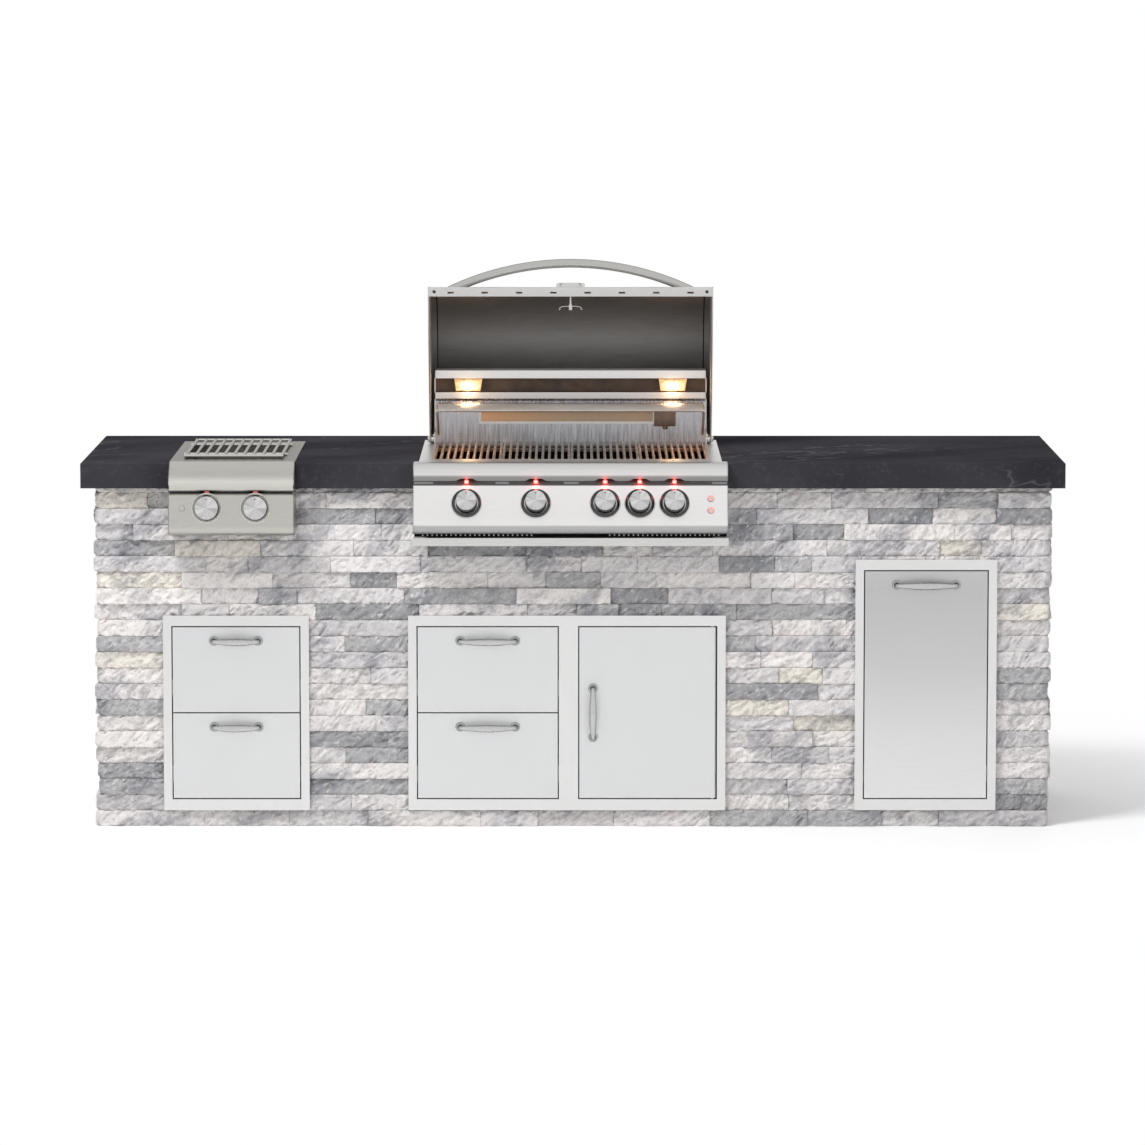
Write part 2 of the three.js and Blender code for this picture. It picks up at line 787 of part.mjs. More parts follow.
// A unit's housing: the flange round the opening and the liner behind it, hollowed by its bays.
function makeHousing(name, unit, bays, extras, holes = []) {
  const flange = block(
    unit.x - unit.width / 2,
    unit.x + unit.width / 2,
    unitFaceY,
    unitFaceY + flangeThickness,
    unitBottom,
    unitBottom + unit.height,
  );
  const liner = linerBox(unit, unitFaceY, unitFaceY + unitDepth, 0);
  const hollows = bays.map((bay) =>
    block(bay.x0, bay.x1, unitFaceY - cutOverrun, unitFaceY + unitDepth - sheetGauge, bay.z0, bay.z1),
  );
  piece(island, name, cut(join(cut(join(flange, liner), ...hollows), ...extras), ...holes), brushedSteel);
}

// A drawer: a folded front, a box with an open top, and the rails that run in the channels.
function makeDrawer(drawer, wallHeight) {
  const { x0, x1, z0, z1 } = drawer.front;
  const pan = cut(
    block(x0, x1, unitFaceY, boxFront, z0, z1),
    block(
      x0 + sheetGauge,
      x1 - sheetGauge,
      unitFaceY + sheetGauge,
      boxFront + cutOverrun,
      z0 + sheetGauge,
      z1 - sheetGauge,
    ),
  );
  const [left, right] = [drawer.bay.x0 + runnerSpace, drawer.bay.x1 - runnerSpace];
  const floor = z0 + boxFloorLift;
  const box = cut(
    block(left, right, unitFaceY + sheetGauge, boxBack, floor, floor + wallHeight),
    block(
      left + sheetGauge,
      right - sheetGauge,
      boxFront + sheetGauge,
      boxBack - sheetGauge,
      floor + sheetGauge,
      floor + wallHeight + cutOverrun,
    ),
    block(
      left + sheetGauge,
      right - sheetGauge,
      unitFaceY,
      boxFront,
      floor + sheetGauge,
      floor + wallHeight + cutOverrun,
    ),
  );
  const middle = floor + runnerLift;
  const railHalf = channelHeight / 2 - channelGauge - runningGap;
  const rail = (a, b) => block(a, b, boxFront + runningGap, boxBack, middle - railHalf, middle + railHalf);
  const body = join(pan, box, rail(left - railThickness, left), rail(right, right + railThickness));
  return piece(island, drawer.name, body, brushedSteel);
}

// A bow handle: two rosettes with posts, and a bar that swells towards its middle.
function handleBody(length) {
  const chord = length - 2 * rosetteRadius;
  const foot = (x) =>
    turned(
      [
        [0, seatGap],
        [rosetteRadius, seatGap],
        [rosetteRadius, rosetteThickness],
        [handlePostRadius, rosetteThickness + seatGap + handlePostRadius / 2],
        [handlePostRadius, handlePostLength + handlePostRadius],
        [0, handlePostLength + handlePostRadius],
      ],
      rodSides,
      new THREE.Matrix4().makeTranslation(x, 0, 0),
    );
  const bar = bowBar(chord, handlePostLength, handleRise, handlePostRadius, handleMidRadius, bowSteps, rodSides);
  return join(bar, foot(-chord / 2), foot(chord / 2));
}

function makeHandle(name, x, z, length, upright) {
  const group = faceGroup(island, x, unitFaceY, z, 0);
  const mesh = piece(group, name, handleBody(length), polishedSteel);
  mesh.rotation.z = upright ? Math.PI / 2 : 0;
}

// The cabinet door: a folded front with an inner skin, on two pins near its right edge.
const door = frontOf(doorBay, 0, 1);
const doorPinX = door.x1 - doorPinInset;
const doorPinY = unitFaceY + doorPinInset;

function makeDoor() {
  const { x0, x1, z0, z1 } = door;
  const back = unitFaceY + frontDepth;
  const outline = [
    [x0, unitFaceY],
    [x1 - doorEdgeChamfer, unitFaceY],
    [x1, unitFaceY + doorEdgeChamfer],
    [x1, back],
    [x0, back],
  ];
  const shell = prism("z", outline, z0, z1);
  const hollow = block(
    x0 + sheetGauge,
    x1 - doorPinInset - doorPinRadius - sheetGauge,
    unitFaceY + sheetGauge,
    back - sheetGauge,
    z0 + sheetGauge,
    z1 - sheetGauge,
  );
  const slot = block(
    x0 + flangeSide,
    x1 - 2 * flangeSide,
    unitFaceY + sheetGauge + doorBackGap,
    back - sheetGauge - doorBackGap,
    z0 - cutOverrun,
    z0 + flangeSide,
  );
  const pins = rod(
    [doorPinX, doorPinY, z0 - doorPinLength],
    [doorPinX, doorPinY, z1 + doorPinLength],
    doorPinRadius,
    smallSides,
  );
  piece(island, "cabinet_door", join(cut(shell, hollow, slot), pins), brushedSteel);
}

// The thickened plates below and above the door bay that the door's pins turn in, and their round holes.
const hingePlates = [doorBay.z0 - 2 * sheetGauge, doorBay.z1].map((z) =>
  block(
    doorPinX - hingeBracket / 2,
    doorPinX + hingeBracket / 2,
    unitFaceY + flangeThickness - seatGap,
    doorPinY + hingeBracket / 2,
    z,
    z + 2 * sheetGauge,
  ),
);
const hingeHoles = [doorBay.z0, doorBay.z1].map((z) =>
  rod([doorPinX, doorPinY, z - hingeBracket], [doorPinX, doorPinY, z + hingeBracket],
    doorPinRadius + 2 * runningGap, smallSides),
);

// The bin: a tapered tub with a rolled rim, standing in the pull-out's carriage.
function makeBin() {
  const floor = drawers[4].front.z0 + boxFloorLift + sheetGauge + seatGap;
  const top = trashBay.z1 - binHeadroom;
  const sideInset = runnerSpace + sheetGauge + binSideGap;
  const endInset = sheetGauge + binEndGap;
  const level = (inset, z) => [
    trashBay.x0 + sideInset + inset,
    trashBay.x1 - sideInset - inset,
    boxFront + endInset + inset,
    boxBack - endInset - inset,
    z,
  ];
  const tub = (inset, z0, z1) => stacked([level(binRim + inset + binTaper, z0), level(binRim + inset, z1)]);
  const rim = stacked([level(0, top - binRim), level(0, top)]);
  const hollow = tub(binWall, floor + binWall, top + cutOverrun);
  piece(island, "trash_bin", cut(join(tub(0, floor, top), rim), hollow), blackPlastic);
}

function makeStorage() {
  makeHousing("left_unit_housing", leftUnit, [leftBay], drawers.slice(0, 2).flatMap(runnerChannels));
  makeHousing(
    "combo_unit_housing",
    comboUnit,
    [comboDrawerBay, doorBay],
    [...drawers.slice(2, 4).flatMap(runnerChannels), ...hingePlates],
    hingeHoles,
  );
  makeHousing("trash_unit_housing", trashUnit, [trashBay], runnerChannels(drawers[4]));
  for (const drawer of drawers) {
    const { x0, x1, z0, z1 } = drawer.front;
    makeDrawer(drawer, drawer.name === "trash_drawer" ? carriageWallHeight : z1 - z0 - boxWallDrop);
    makeHandle(drawer.name + "_handle", (x0 + x1) / 2, z1 - handleDrop, drawer.handle, false);
  }
  makeDoor();
  makeHandle("cabinet_door_handle", door.x0 + handleDrop, (door.z0 + door.z1) / 2, doorHandleLength, true);
  makeBin();
}

// Grill

const onPanel = (share) => ({
  y: faceTopY + (faceBottomY - faceTopY) * share,
  z: faceTopZ + (faceBottomZ - faceTopZ) * share,
});

// The panel's outline from the deck over the bullnose, the groove and the leaning face to its underside.
function panelLine(back) {
  const bendY = faceBottomY + panelBend * Math.cos(tiltRad);
  const bendZ = faceBottomZ - panelBend * Math.sin(tiltRad);
  return [
    [panelBack, deckTop],
    ...arc(bullnoseRadius - panelReach, deckTop - bullnoseRadius, bullnoseRadius, 90, 180, bendSteps + 1),
    [-panelReach, grooveHeight + grooveWidth],
    [grooveDepth - panelReach, grooveHeight + grooveWidth / 2],
    [grooveDepth - panelReach, grooveHeight - grooveWidth / 2],
    [faceTopY, faceTopZ - grooveWidth / 2],
    ...arc(bendY, bendZ, panelBend, 180 - panelTilt, 270, bendSteps),
    [back, panelBottom],
  ];
}

// The ends of a control panel: full plates that reach back to the stone under the worktop's apron.
function cheek(line, centre, halfWidth, bottom) {
  const outline = [
    ...line,
    [cheekBack, bottom],
    [cheekBack, apronBottom - seatGap],
    [panelBack, apronBottom - seatGap],
  ];
  return [
    prism("x", outline, centre - halfWidth, centre - halfWidth + sheetGauge),
    prism("x", outline, centre + halfWidth - sheetGauge, centre + halfWidth),
  ];
}

// A bezel: a ring with a sloping outside round a knob.
function bezel(knob, tilt, radius, width) {
  const inner = radius + knobFlare + bezelGap;
  return turned(
    [
      [inner, -sheetGauge / 2],
      [inner + width, -sheetGauge / 2],
      [inner + width - bezelHeight / 2, bezelHeight],
      [inner, bezelHeight],
    ],
    roundSides,
    onFace(knob.x, knob.y, knob.z, tilt),
  );
}

// A round hole square to a leaning face, deep enough for a stem that is pushed in.
function faceHole(x, y, z, tilt, radius) {
  const reach = stemInside + 2 * knobTravel;
  return turned(
    [
      [0, -reach],
      [radius, -reach],
      [radius, reach],
      [0, reach],
    ],
    smallSides,
    onFace(x, y, z, tilt),
  );
}

const grillKnobs = knobPlaceShares.map((share) => ({
  x: grillOffset + share * knobPitch,
  ...onPanel(knobDropShare),
}));
const lightButtons = buttonDropShares.map((share) => ({
  x: grillOffset + panelHalf - buttonInset,
  ...onPanel(share),
}));

function makeControlPanel() {
  const line = panelLine(fireboxFront - seatGap);
  const skin = prism("x", bentSheet(line, sheetGauge), grillOffset - panelHalf, grillOffset + panelHalf);
  const rings = grillKnobs.map((k) => bezel(k, panelTilt, knobRadius, bezelWidth));
  const holes = [
    ...grillKnobs.map((k) => faceHole(k.x, k.y, k.z, panelTilt, stemRadius + stemHoleGap)),
    ...lightButtons.map((b) => faceHole(b.x, b.y, b.z, panelTilt, buttonRadius + runningGap)),
  ];
  const slots = ventSlotCentreShares.map((share, i) =>
    block(
      grillOffset + panelHalf * (2 * share - ventSlotLengthShares[i]),
      grillOffset + panelHalf * (2 * share + ventSlotLengthShares[i]),
      -panelReach,
      sheetGauge + grooveDepth + grooveWidth - panelReach,
      grooveHeight - ventSlotHeight / 2,
      grooveHeight + ventSlotHeight / 2,
    ),
  );
  const body = cut(join(skin, ...cheek(line, grillOffset, panelHalf, panelBottom), ...rings), ...holes, ...slots);
  piece(island, "control_panel", body, brushedSteel);
}

// A knob turns about its stem: a slightly flared barrel with a blind bore.
function knobBody(radius, length) {
  const start = bezelHeight - knobTravel;
  return turned(
    [
      [0, length - knobCapThickness],
      [stemRadius + runningGap, length - knobCapThickness],
      [stemRadius + runningGap, start],
      [radius + knobFlare, start],
      [radius, length],
      [0, length],
    ],
    roundSides,
  );
}

function makeKnobs(prefix, knobs, tilt, radius, length) {
  const stem = turned(
    [
      [0, -stemInside],
      [stemRadius, -stemInside],
      [stemRadius, length - knobCapThickness - runningGap],
      [0, length - knobCapThickness - runningGap],
    ],
    smallSides,
  );
  knobs.forEach((k, i) => {
    const group = faceGroup(island, k.x, k.y, k.z, tilt);
    piece(group, prefix + "_stem_" + (i + 1), stem, brass);
    piece(group, prefix + "_knob_" + (i + 1), knobBody(radius, length), polishedSteel);
  });
}

function buttonBody(radius) {
  return turned(
    [
      [0, buttonProud - buttonLength],
      [radius, buttonProud - buttonLength],
      [radius, buttonProud - radius / 8],
      [radius - radius / 8, buttonProud],
      [0, buttonProud],
    ],
    smallSides,
  );
}

function makeLightButtons() {
  ["light_button_upper", "light_button_lower"].forEach((name, i) => {
    const b = lightButtons[i];
    piece(faceGroup(island, b.x, b.y, b.z, panelTilt), name, buttonBody(buttonRadius), redLight);
  });
}

// Valves: blocks on the gas pipe with a bore for each stem, set square behind the leaning face.
function valve(k, tilt) {
  const half = valveWidth / 2;
  const body = block(-half, half, -half, half, -valveStart - valveLength, -valveStart);
  return body.transform(onFace(k.x, k.y, k.z, tilt).elements);
}

function makeBurnerManifold() {
  const pipeY = -manifoldSetback;
  const reach = knobPitch * burnerShares[3] + knobRadius + 2 * bracketWidth;
  const pipe = rod(
    [grillOffset - reach, pipeY, burnerHeight],
    [grillOffset + reach, pipeY, burnerHeight],
    manifoldRadius,
    rodSides,
  );
  const burners = burnerShares.map((share) => {
    const x = grillOffset + share * knobPitch;
    return rod([x, pipeY, burnerHeight], [x, fireboxBack - burnerBackGap, burnerHeight], burnerRadius, rodSides);
  });
  const bores = grillKnobs.map((k) => faceHole(k.x, k.y, k.z, panelTilt, stemRadius + runningGap));
  const brackets = [-1, 1].map((side) => {
    const x = grillOffset + side * (reach - bracketWidth);
    return block(
      x - bracketWidth / 2,
      x + bracketWidth / 2,
      pipeY,
      fireboxFront - seatGap,
      burnerHeight - bracketWidth / 2,
      burnerHeight + bracketWidth / 2,
    );
  });
  const valves = grillKnobs.map((k) => valve(k, panelTilt));
  piece(island, "burner_manifold", cut(join(pipe, ...valves, ...burners, ...brackets), ...bores), darkSteel);
}

// Firebox: the deck that rests on the worktop, the walls below it, the grate ledges, the tray's rails
// and an angled flame tamer over each burner.
function makeFirebox() {
  const [x0, x1] = [grillOffset - fireboxHalf, grillOffset + fireboxHalf];
  const deckLow = topHeight + seatGap;
  const deck = block(
    grillOffset - grillDeckHalf,
    grillOffset + grillDeckHalf,
    seatGap,
    grillDeckBack,
    deckLow,
    deckTop,
  );
  const bay = block(
    grillOffset - grateBayHalf,
    grillOffset + grateBayHalf,
    grateBayFront,
    grateBayBack,
    deckLow - cutOverrun,
    deckTop + cutOverrun,
  );
  const walls = cut(
    block(x0, x1, fireboxFront, fireboxBack, fireboxBottom, deckTop - deckThickness / 2),
    block(
      x0 + sheetGauge,
      x1 - sheetGauge,
      fireboxFront + sheetGauge,
      fireboxBack - sheetGauge,
      fireboxBottom - cutOverrun,
      deckTop + cutOverrun,
    ),
    block(
      x0 + sheetGauge,
      x1 - sheetGauge,
      fireboxFront - cutOverrun,
      fireboxFront + sheetGauge + cutOverrun,
      fireboxBottom - cutOverrun,
      trayFloor + trayLipHeight + cutoutGap,
    ),
  );
  const ledgeLow = grateFloor - seatGap - sheetGauge;
  const lip = (edge, inward) => bentSheet(
    [
      [edge, deckTop - deckThickness / 2],
      [edge, ledgeLow],
      [edge + inward * grateLedge, ledgeLow],
    ],
    inward * sheetGauge,
  );
  const ledges = [
    prism("x", lip(grateBayFront - sheetGauge, 1), x0, x1),
    prism("x", lip(grateBayBack + sheetGauge, -1), x0, x1),
  ];
  const rails = [
    block(x0, x0 + trayRailWidth, fireboxFront, fireboxBack, trayFloor - seatGap - sheetGauge, trayFloor - seatGap),
    block(x1 - trayRailWidth, x1, fireboxFront, fireboxBack, trayFloor - seatGap - sheetGauge, trayFloor - seatGap),
  ];
  const tamers = burnerShares.map((share) => {
    const x = grillOffset + share * knobPitch;
    const foot = topHeight - tamerDrop;
    const line = [
      [x - tamerWidth / 2, foot],
      [x, foot + tamerRise],
      [x + tamerWidth / 2, foot],
    ];
    return prism("y", bentSheet(line, -sheetGauge), fireboxFront, fireboxBack);
  });
  const inlets = burnerShares.map((share) => {
    const x = grillOffset + share * knobPitch;
    const y = fireboxFront + sheetGauge / 2;
    return rod([x, y - cutOverrun, burnerHeight], [x, y + cutOverrun, burnerHeight],
      burnerRadius + 4 * runningGap, smallSides);
  });
  const body = cut(join(cut(deck, bay), walls, ...ledges, ...rails, ...tamers), ...inlets);
  piece(island, "firebox", body, brushedSteel);
}

// Cooking grates: square bars from front to back, tied below by three cross bars.
function makeGrates() {
  const width = grateBayWidth / grateCount;
  const length = grateBayDepth - 2 * runningGap;
  const front = grateBayFront + runningGap;
  const reach = width - 2 * runningGap;
  const barPitch = (reach - grateBarWidth) / (grateBarCount - 1);
  for (let i = 0; i < grateCount; i++) {
    const x0 = grillOffset - grateBayHalf + i * width + runningGap;
    const bars = Array.from({ length: grateBarCount }, (_, j) => {
      const x = x0 + j * barPitch;
      return block(x, x + grateBarWidth, front, front + length, grateTop - grateBarHeight, grateTop);
    });
    const ties = grateCrossShares.map((share) => {
      const y = front + (length - grateCrossBar) * share;
      return block(x0, x0 + reach, y, y + grateCrossBar, grateFloor, grateTop - grateBarHeight);
    });
    piece(island, "cooking_grate_" + (i + 1), join(...bars, ...ties), polishedSteel);
  }
}

// Drip tray: a shallow pan on the firebox's rails, with a lip as wide as the control panel.
function makeDripTray() {
  const half = fireboxHalf - traySideGap;
  const front = sheetGauge - trayLipReach;
  const back = front + trayLength;
  const pan = cut(
    block(grillOffset - half, grillOffset + half, front, back, trayFloor, trayFloor + trayWallHeight),
    block(
      grillOffset - half + sheetGauge,
      grillOffset + half - sheetGauge,
      front + sheetGauge,
      back - sheetGauge,
      trayFloor + sheetGauge,
      trayFloor + trayWallHeight + cutOverrun,
    ),
  );
  const lipTop = trayFloor + trayLipHeight;
  const lipLine = [
    [trayLipReturn - trayLipReach, trayFloor],
    [-trayLipReach, trayFloor],
    [-trayLipReach, lipTop],
    [trayLipReturn - trayLipReach, lipTop],
  ];
  const lip = prism(
    "x",
    bentSheet(lipLine, -sheetGauge),
    grillOffset - panelHalf - trayLipOverhang,
    grillOffset + panelHalf + trayLipOverhang,
  );
  piece(island, "drip_tray", join(pan, lip), brushedSteel);
}

// The rear housing stands just over the back of the grates. The hood's pins stand before its face, and
// the hood's back curves round them, clear of the housing's top corner.
const housingSetback = grateBayBack - housingForward;
const housingBack = housingSetback + housingDepth;
const pivotSetback = housingSetback - pivotForward;
const hoodHalf = grillDeckHalf - hoodInset;
const hoodReach = pivotSetback - grateBayFront;
const hoodBackRadius = Math.hypot(housingBack - pivotSetback, housingHeight - pivotRise) + hoodClearance;

// Hood: everything here is placed about the side pins in the closed position, and the group rolls it open.
const hood = new THREE.Group();
hood.position.set(grillOffset, pivotSetback, deckTop + pivotRise);
hood.rotation.x = -THREE.MathUtils.degToRad(hoodOpenAngle);
island.add(hood);
const leanRad = THREE.MathUtils.degToRad(hoodFaceLean);
const hoodNose =
  (hoodBackRadius + hoodDrop - hoodFaceLength * Math.cos(leanRad)) / (1 - Math.sin(leanRad));
const onHoodFace = (distance) => ({
  y: distance * Math.sin(leanRad) - hoodReach,
  z: distance * Math.cos(leanRad) - hoodDrop,
});

// The hood's outer line, from its lower front edge up the leaning face and over the nose and roof
// to the back, which curves about the pins.
function hoodLine() {
  const top = onHoodFace(hoodFaceLength);
  return [
    [-hoodReach, -hoodDrop],
    ...arc(top.y + hoodNose * Math.cos(leanRad), top.z - hoodNose * Math.sin(leanRad), hoodNose,
      180 - hoodFaceLean, 90, 2 * bendSteps),
    ...arc(0, 0, hoodBackRadius, 90, 90 - hoodBackSweep, bendSteps),
  ];
}

function makeHood() {
  const line = hoodLine();
  const skin = prism("x", bentSheet([[hoodLip - hoodReach, -hoodDrop], ...line], -hoodGauge), -hoodHalf, hoodHalf);
  const sideOutline = [...line, ...arc(0, 0, hoodDrop, 90 - hoodBackSweep, -90, bendSteps)];
  const sides = [
    prism("x", sideOutline, -hoodHalf, hoodGauge - hoodHalf),
    prism("x", sideOutline, hoodHalf - hoodGauge, hoodHalf),
  ];
  const pinHole = rod([-hoodHalf - cutOverrun, 0, 0], [hoodHalf + cutOverrun, 0, 0], pinRadius + runningGap,
    smallSides);
  const slotPitch = (2 * (hoodHalf - hoodSlotInset)) / (hoodSlotCount - 1);
  const slots = Array.from({ length: hoodSlotCount }, (_, i) => {
    const x = (i - (hoodSlotCount - 1) / 2) * slotPitch;
    const y = hoodLip / 2 - hoodReach;
    return block(
      x - hoodSlotLength / 2,
      x + hoodSlotLength / 2,
      y,
      y + hoodSlotWidth,
      -hoodDrop - cutOverrun,
      hoodGauge + cutOverrun - hoodDrop,
    );
  });
  const dial = onHoodFace(dialPlace);
  const dialHole = faceHole(0, dial.y, dial.z, hoodFaceLean, dialStemRadius + runningGap);
  piece(hood, "hood", cut(join(skin, ...sides), pinHole, dialHole, ...slots), brushedSteel);
}

// The hood's bow handle, on two feet just above the lower front edge.
function makeHoodHandle() {
  const place = onHoodFace(hoodHandlePlace);
  const group = faceGroup(hood, 0, place.y, place.z, hoodFaceLean);
  const foot = (x) =>
    turned(
      [
        [0, seatGap],
        [hoodHandleRadius, seatGap],
        [hoodHandleRadius, hoodHandleFoot],
        [0, hoodHandleFoot + hoodHandleRadius / 2],
      ],
      smallSides,
      new THREE.Matrix4().makeTranslation(x, 0, 0),
    );
  const chordHalf = hoodHalf - hoodHandleInset;
  const bar = bowBar(2 * chordHalf, hoodHandleFoot, hoodHandleRise, hoodHandleRadius, hoodHandleRadius,
    wideBowSteps, smallSides);
  const body = join(bar, foot(-chordHalf), foot(chordHalf));
  piece(group, "hood_handle", body, polishedSteel);
}

// The thermometer: a dial outside, and a stem with a wing nut inside the hood.
function makeThermometer() {
  const place = onHoodFace(dialPlace);
  const group = faceGroup(hood, 0, place.y, place.z, hoodFaceLean);
  const nutTop = wingNutLength - dialStemLength;
  const core = turned(
    [
      [0, -dialStemLength - dialStemRadius],
      [dialStemRadius, -dialStemLength],
      [wingNutRadius, -dialStemLength],
      [wingNutRadius, nutTop],
      [dialStemRadius, nutTop],
      [dialStemRadius, seatGap],
      [dialRadius, seatGap],
      [dialRadius, dialHeight - dialStemRadius],
      [dialRadius - dialStemRadius, dialHeight],
      [0, dialHeight],
    ],
    roundSides,
  );
  const wingZ = nutTop - wingThickness;
  const bar = block(-wingLength / 2, wingLength / 2, -wingThickness / 2, wingThickness / 2, wingZ - wingThickness,
    wingZ);
  const tips = [-1, 1].map((end) =>
    block(
      (end * wingLength) / 2 - wingThickness / 2,
      (end * wingLength) / 2 + wingThickness / 2,
      -wingThickness / 2,
      wingThickness / 2,
      wingZ - 3 * wingThickness,
      wingZ,
    ),
  );
  piece(group, "thermometer", join(core, bar, ...tips), polishedSteel);
}

// Rear housing: a folded box behind the grates with a lamp bay, a burner window and the hood's pins.
const housingHalf = hoodHalf - housingInset;
const housingWallSetback = housingSetback + housingFaceDepth;
const housingBase = deckTop + seatGap;
const housingTopZ = deckTop + housingHeight;
const bayTopZ = housingTopZ - housingBrow;
const bayBottomZ = bayTopZ - lampBayHeight;
const stripBottomZ = bayBottomZ - rearStripDrop;
const rearBurnerX = grillOffset + rearBurnerOffset;
const rearBurnerHalf = housingHalf - rearBurnerInset;
const rearBurnerZ = stripBottomZ - rearStripSlope - rearBurnerDrop - rearBurnerHeight;

function makeRearHousing() {
  const [x0, x1] = [grillOffset - housingHalf, grillOffset + housingHalf];
  const line = [
    [housingWallSetback, housingBase + seatGap],
    [housingWallSetback, stripBottomZ - rearStripSlope],
    [housingSetback, stripBottomZ],
    [housingSetback, bayBottomZ],
    [housingSetback + lampBayDepth, bayBottomZ],
    [housingSetback + lampBayDepth, bayTopZ],
    [housingSetback, bayTopZ],
    [housingSetback, housingTopZ],
    [housingBack, housingTopZ],
    [housingBack, housingBase + seatGap],
  ];
  const shell = prism("x", bentSheet(line, -sheetGauge), x0, x1);
  const side = [
    [pivotSetback - earReach, housingBase],
    [housingBack, housingBase],
    [housingBack, housingTopZ],
    [housingSetback, housingTopZ],
    [housingSetback, housingBase + earHeight + earReach],
    [pivotSetback - earReach, housingBase + earHeight],
  ];
  const sides = [prism("x", side, x0, x0 + sheetGauge), prism("x", side, x1 - sheetGauge, x1)];
  const window = block(
    rearBurnerX - rearBurnerHalf + rearBurnerBorder,
    rearBurnerX + rearBurnerHalf - rearBurnerBorder,
    housingWallSetback - cutOverrun,
    housingWallSetback + sheetGauge + cutOverrun,
    rearBurnerZ + rearBurnerBorder,
    rearBurnerZ + rearBurnerHeight - rearBurnerBorder,
  );
  const pivotZ = deckTop + pivotRise;
  const pins = [-1, 1].flatMap((end) => {
    const at = (reach) => [grillOffset + end * reach, pivotSetback, pivotZ];
    return [
      rod(at(housingHalf - sheetGauge / 2), at(hoodHalf - hoodGauge - runningGap), pinBossRadius, smallSides),
      rod(at(housingHalf), at(hoodHalf + 2 * runningGap), pinRadius, smallSides),
      rod(at(hoodHalf + runningGap), at(hoodHalf + runningGap + pinHeadLength), pinHeadRadius, smallSides),
    ];
  });
  piece(island, "rear_housing", join(cut(join(shell, ...sides), window), ...pins), brushedSteel);
}

// Lamps: bevelled glass blocks on the back of the lamp bay.
function makeLamps() {
  const back = housingSetback + lampBayDepth - seatGap;
  for (const [name, side] of [["lamp_left", -1], ["lamp_right", 1]]) {
    const x = grillOffset + side * (housingHalf - lampInset);
    const outline = [
      [x - lampBottomWidth / 2, bayBottomZ + lampGap],
      [x + lampBottomWidth / 2, bayBottomZ + lampGap],
      [x + lampTopWidth / 2, bayTopZ - lampGap],
      [x - lampTopWidth / 2, bayTopZ - lampGap],
    ];
    piece(island, name, prism("y", outline, back - lampLength, back), lampGlass);
  }
}

// Rear burner: a framed tile in the housing's window, with its igniter box beside it.
function makeRearBurner() {
  const half = rearBurnerHalf;
  const wall = housingWallSetback;
  const flange = block(rearBurnerX - half, rearBurnerX + half, wall - seatGap - rearBurnerFlange, wall - seatGap,
    rearBurnerZ, rearBurnerZ + rearBurnerHeight);
  const inset = rearBurnerBorder + runningGap;
  const tile = block(rearBurnerX - half + inset, rearBurnerX + half - inset, wall - seatGap - rearBurnerFlange,
    wall + rearBurnerDepth, rearBurnerZ + inset, rearBurnerZ + rearBurnerHeight - inset);
  const igniterTop = rearBurnerZ + rearBurnerHeight;
  const igniter = block(rearBurnerX + half - rearBurnerFlange, rearBurnerX + half + igniterWidth,
    wall - seatGap - igniterDepth, wall - seatGap, igniterTop - igniterHeight, igniterTop);
  piece(island, "rear_burner", join(flange, tile, igniter), darkSteel);
}

// Warming rack: rods in a frame, held off the rear housing by its back ends and two struts.
function makeWarmingRack() {
  const z = deckTop + rackRise;
  const backY = housingSetback - seatGap - rackRodRadius;
  const frontY = backY - rackDepth;
  const reach = housingHalf - rackInset;
  const [x0, x1] = [grillOffset - reach, grillOffset + reach];
  const footY = housingWallSetback - seatGap - rackRodRadius;
  const rods = Array.from({ length: rackRodCount }, (_, i) => {
    const y = frontY + (rackDepth * i) / (rackRodCount - 1);
    return rod([x0, y, z], [x1, y, z], rackRodRadius, rodSides);
  });
  const ends = [x0, x1].flatMap((x) => [
    rod([x, frontY - rackRodRadius, z], [x, backY + rackRodRadius, z], rackRodRadius, rodSides),
    rod([x, frontY + rackDepth / 4, z], [x, footY, z - rackFootDrop], rackRodRadius, rodSides),
  ]);
  const feet = [x0, x1].map((x) =>
    block(x - 2 * rackRodRadius, x + 2 * rackRodRadius, footY - rackRodRadius, footY + rackRodRadius,
      z - rackFootDrop - 2 * rackRodRadius, z - rackFootDrop + 2 * rackRodRadius),
  );
  piece(island, "warming_rack", join(...rods, ...ends, ...feet), polishedSteel);
}

function makeGrill() {
  makeFirebox();
  makeControlPanel();
  makeKnobs("grill", grillKnobs, panelTilt, knobRadius, knobLength);
  makeLightButtons();
  makeBurnerManifold();
  makeGrates();
  makeDripTray();
  makeHood();
  makeHoodHandle();
  makeThermometer();
  makeRearHousing();
  makeLamps();
  makeRearBurner();
  makeWarmingRack();
}

// Side burner

const sideTiltRad = THREE.MathUtils.degToRad(sidePanelTilt);
const sideGrooveHeight = topHeight - sideGrooveDrop;
const sideFaceTopY = faceStepBack - sideNoseReach;
const sideFaceTopZ = sideGrooveHeight - grooveWidth / 2;
const sideFaceBottomY = sideFaceTopY - sideFaceHeight * Math.tan(sideTiltRad);
const sideFaceBottomZ = sideFaceTopZ - sideFaceHeight;
const sidePanelBottom = sideFaceBottomZ - sidePanelBend * (1 + Math.sin(sideTiltRad));
const onSidePanel = (share) => ({
  y: sideFaceTopY + (sideFaceBottomY - sideFaceTopY) * share,
  z: sideFaceTopZ + (sideFaceBottomZ - sideFaceTopZ) * share,
});
const sideKnobs = [-1, 1].map((side) => ({
  x: sideOffset + side * (sideHalf - sideKnobInset),
  ...onSidePanel(knobDropShare),
}));
const sideIgniter = { x: sideOffset - sideHalf + sideIgniterInset, ...onSidePanel(knobDropShare) };

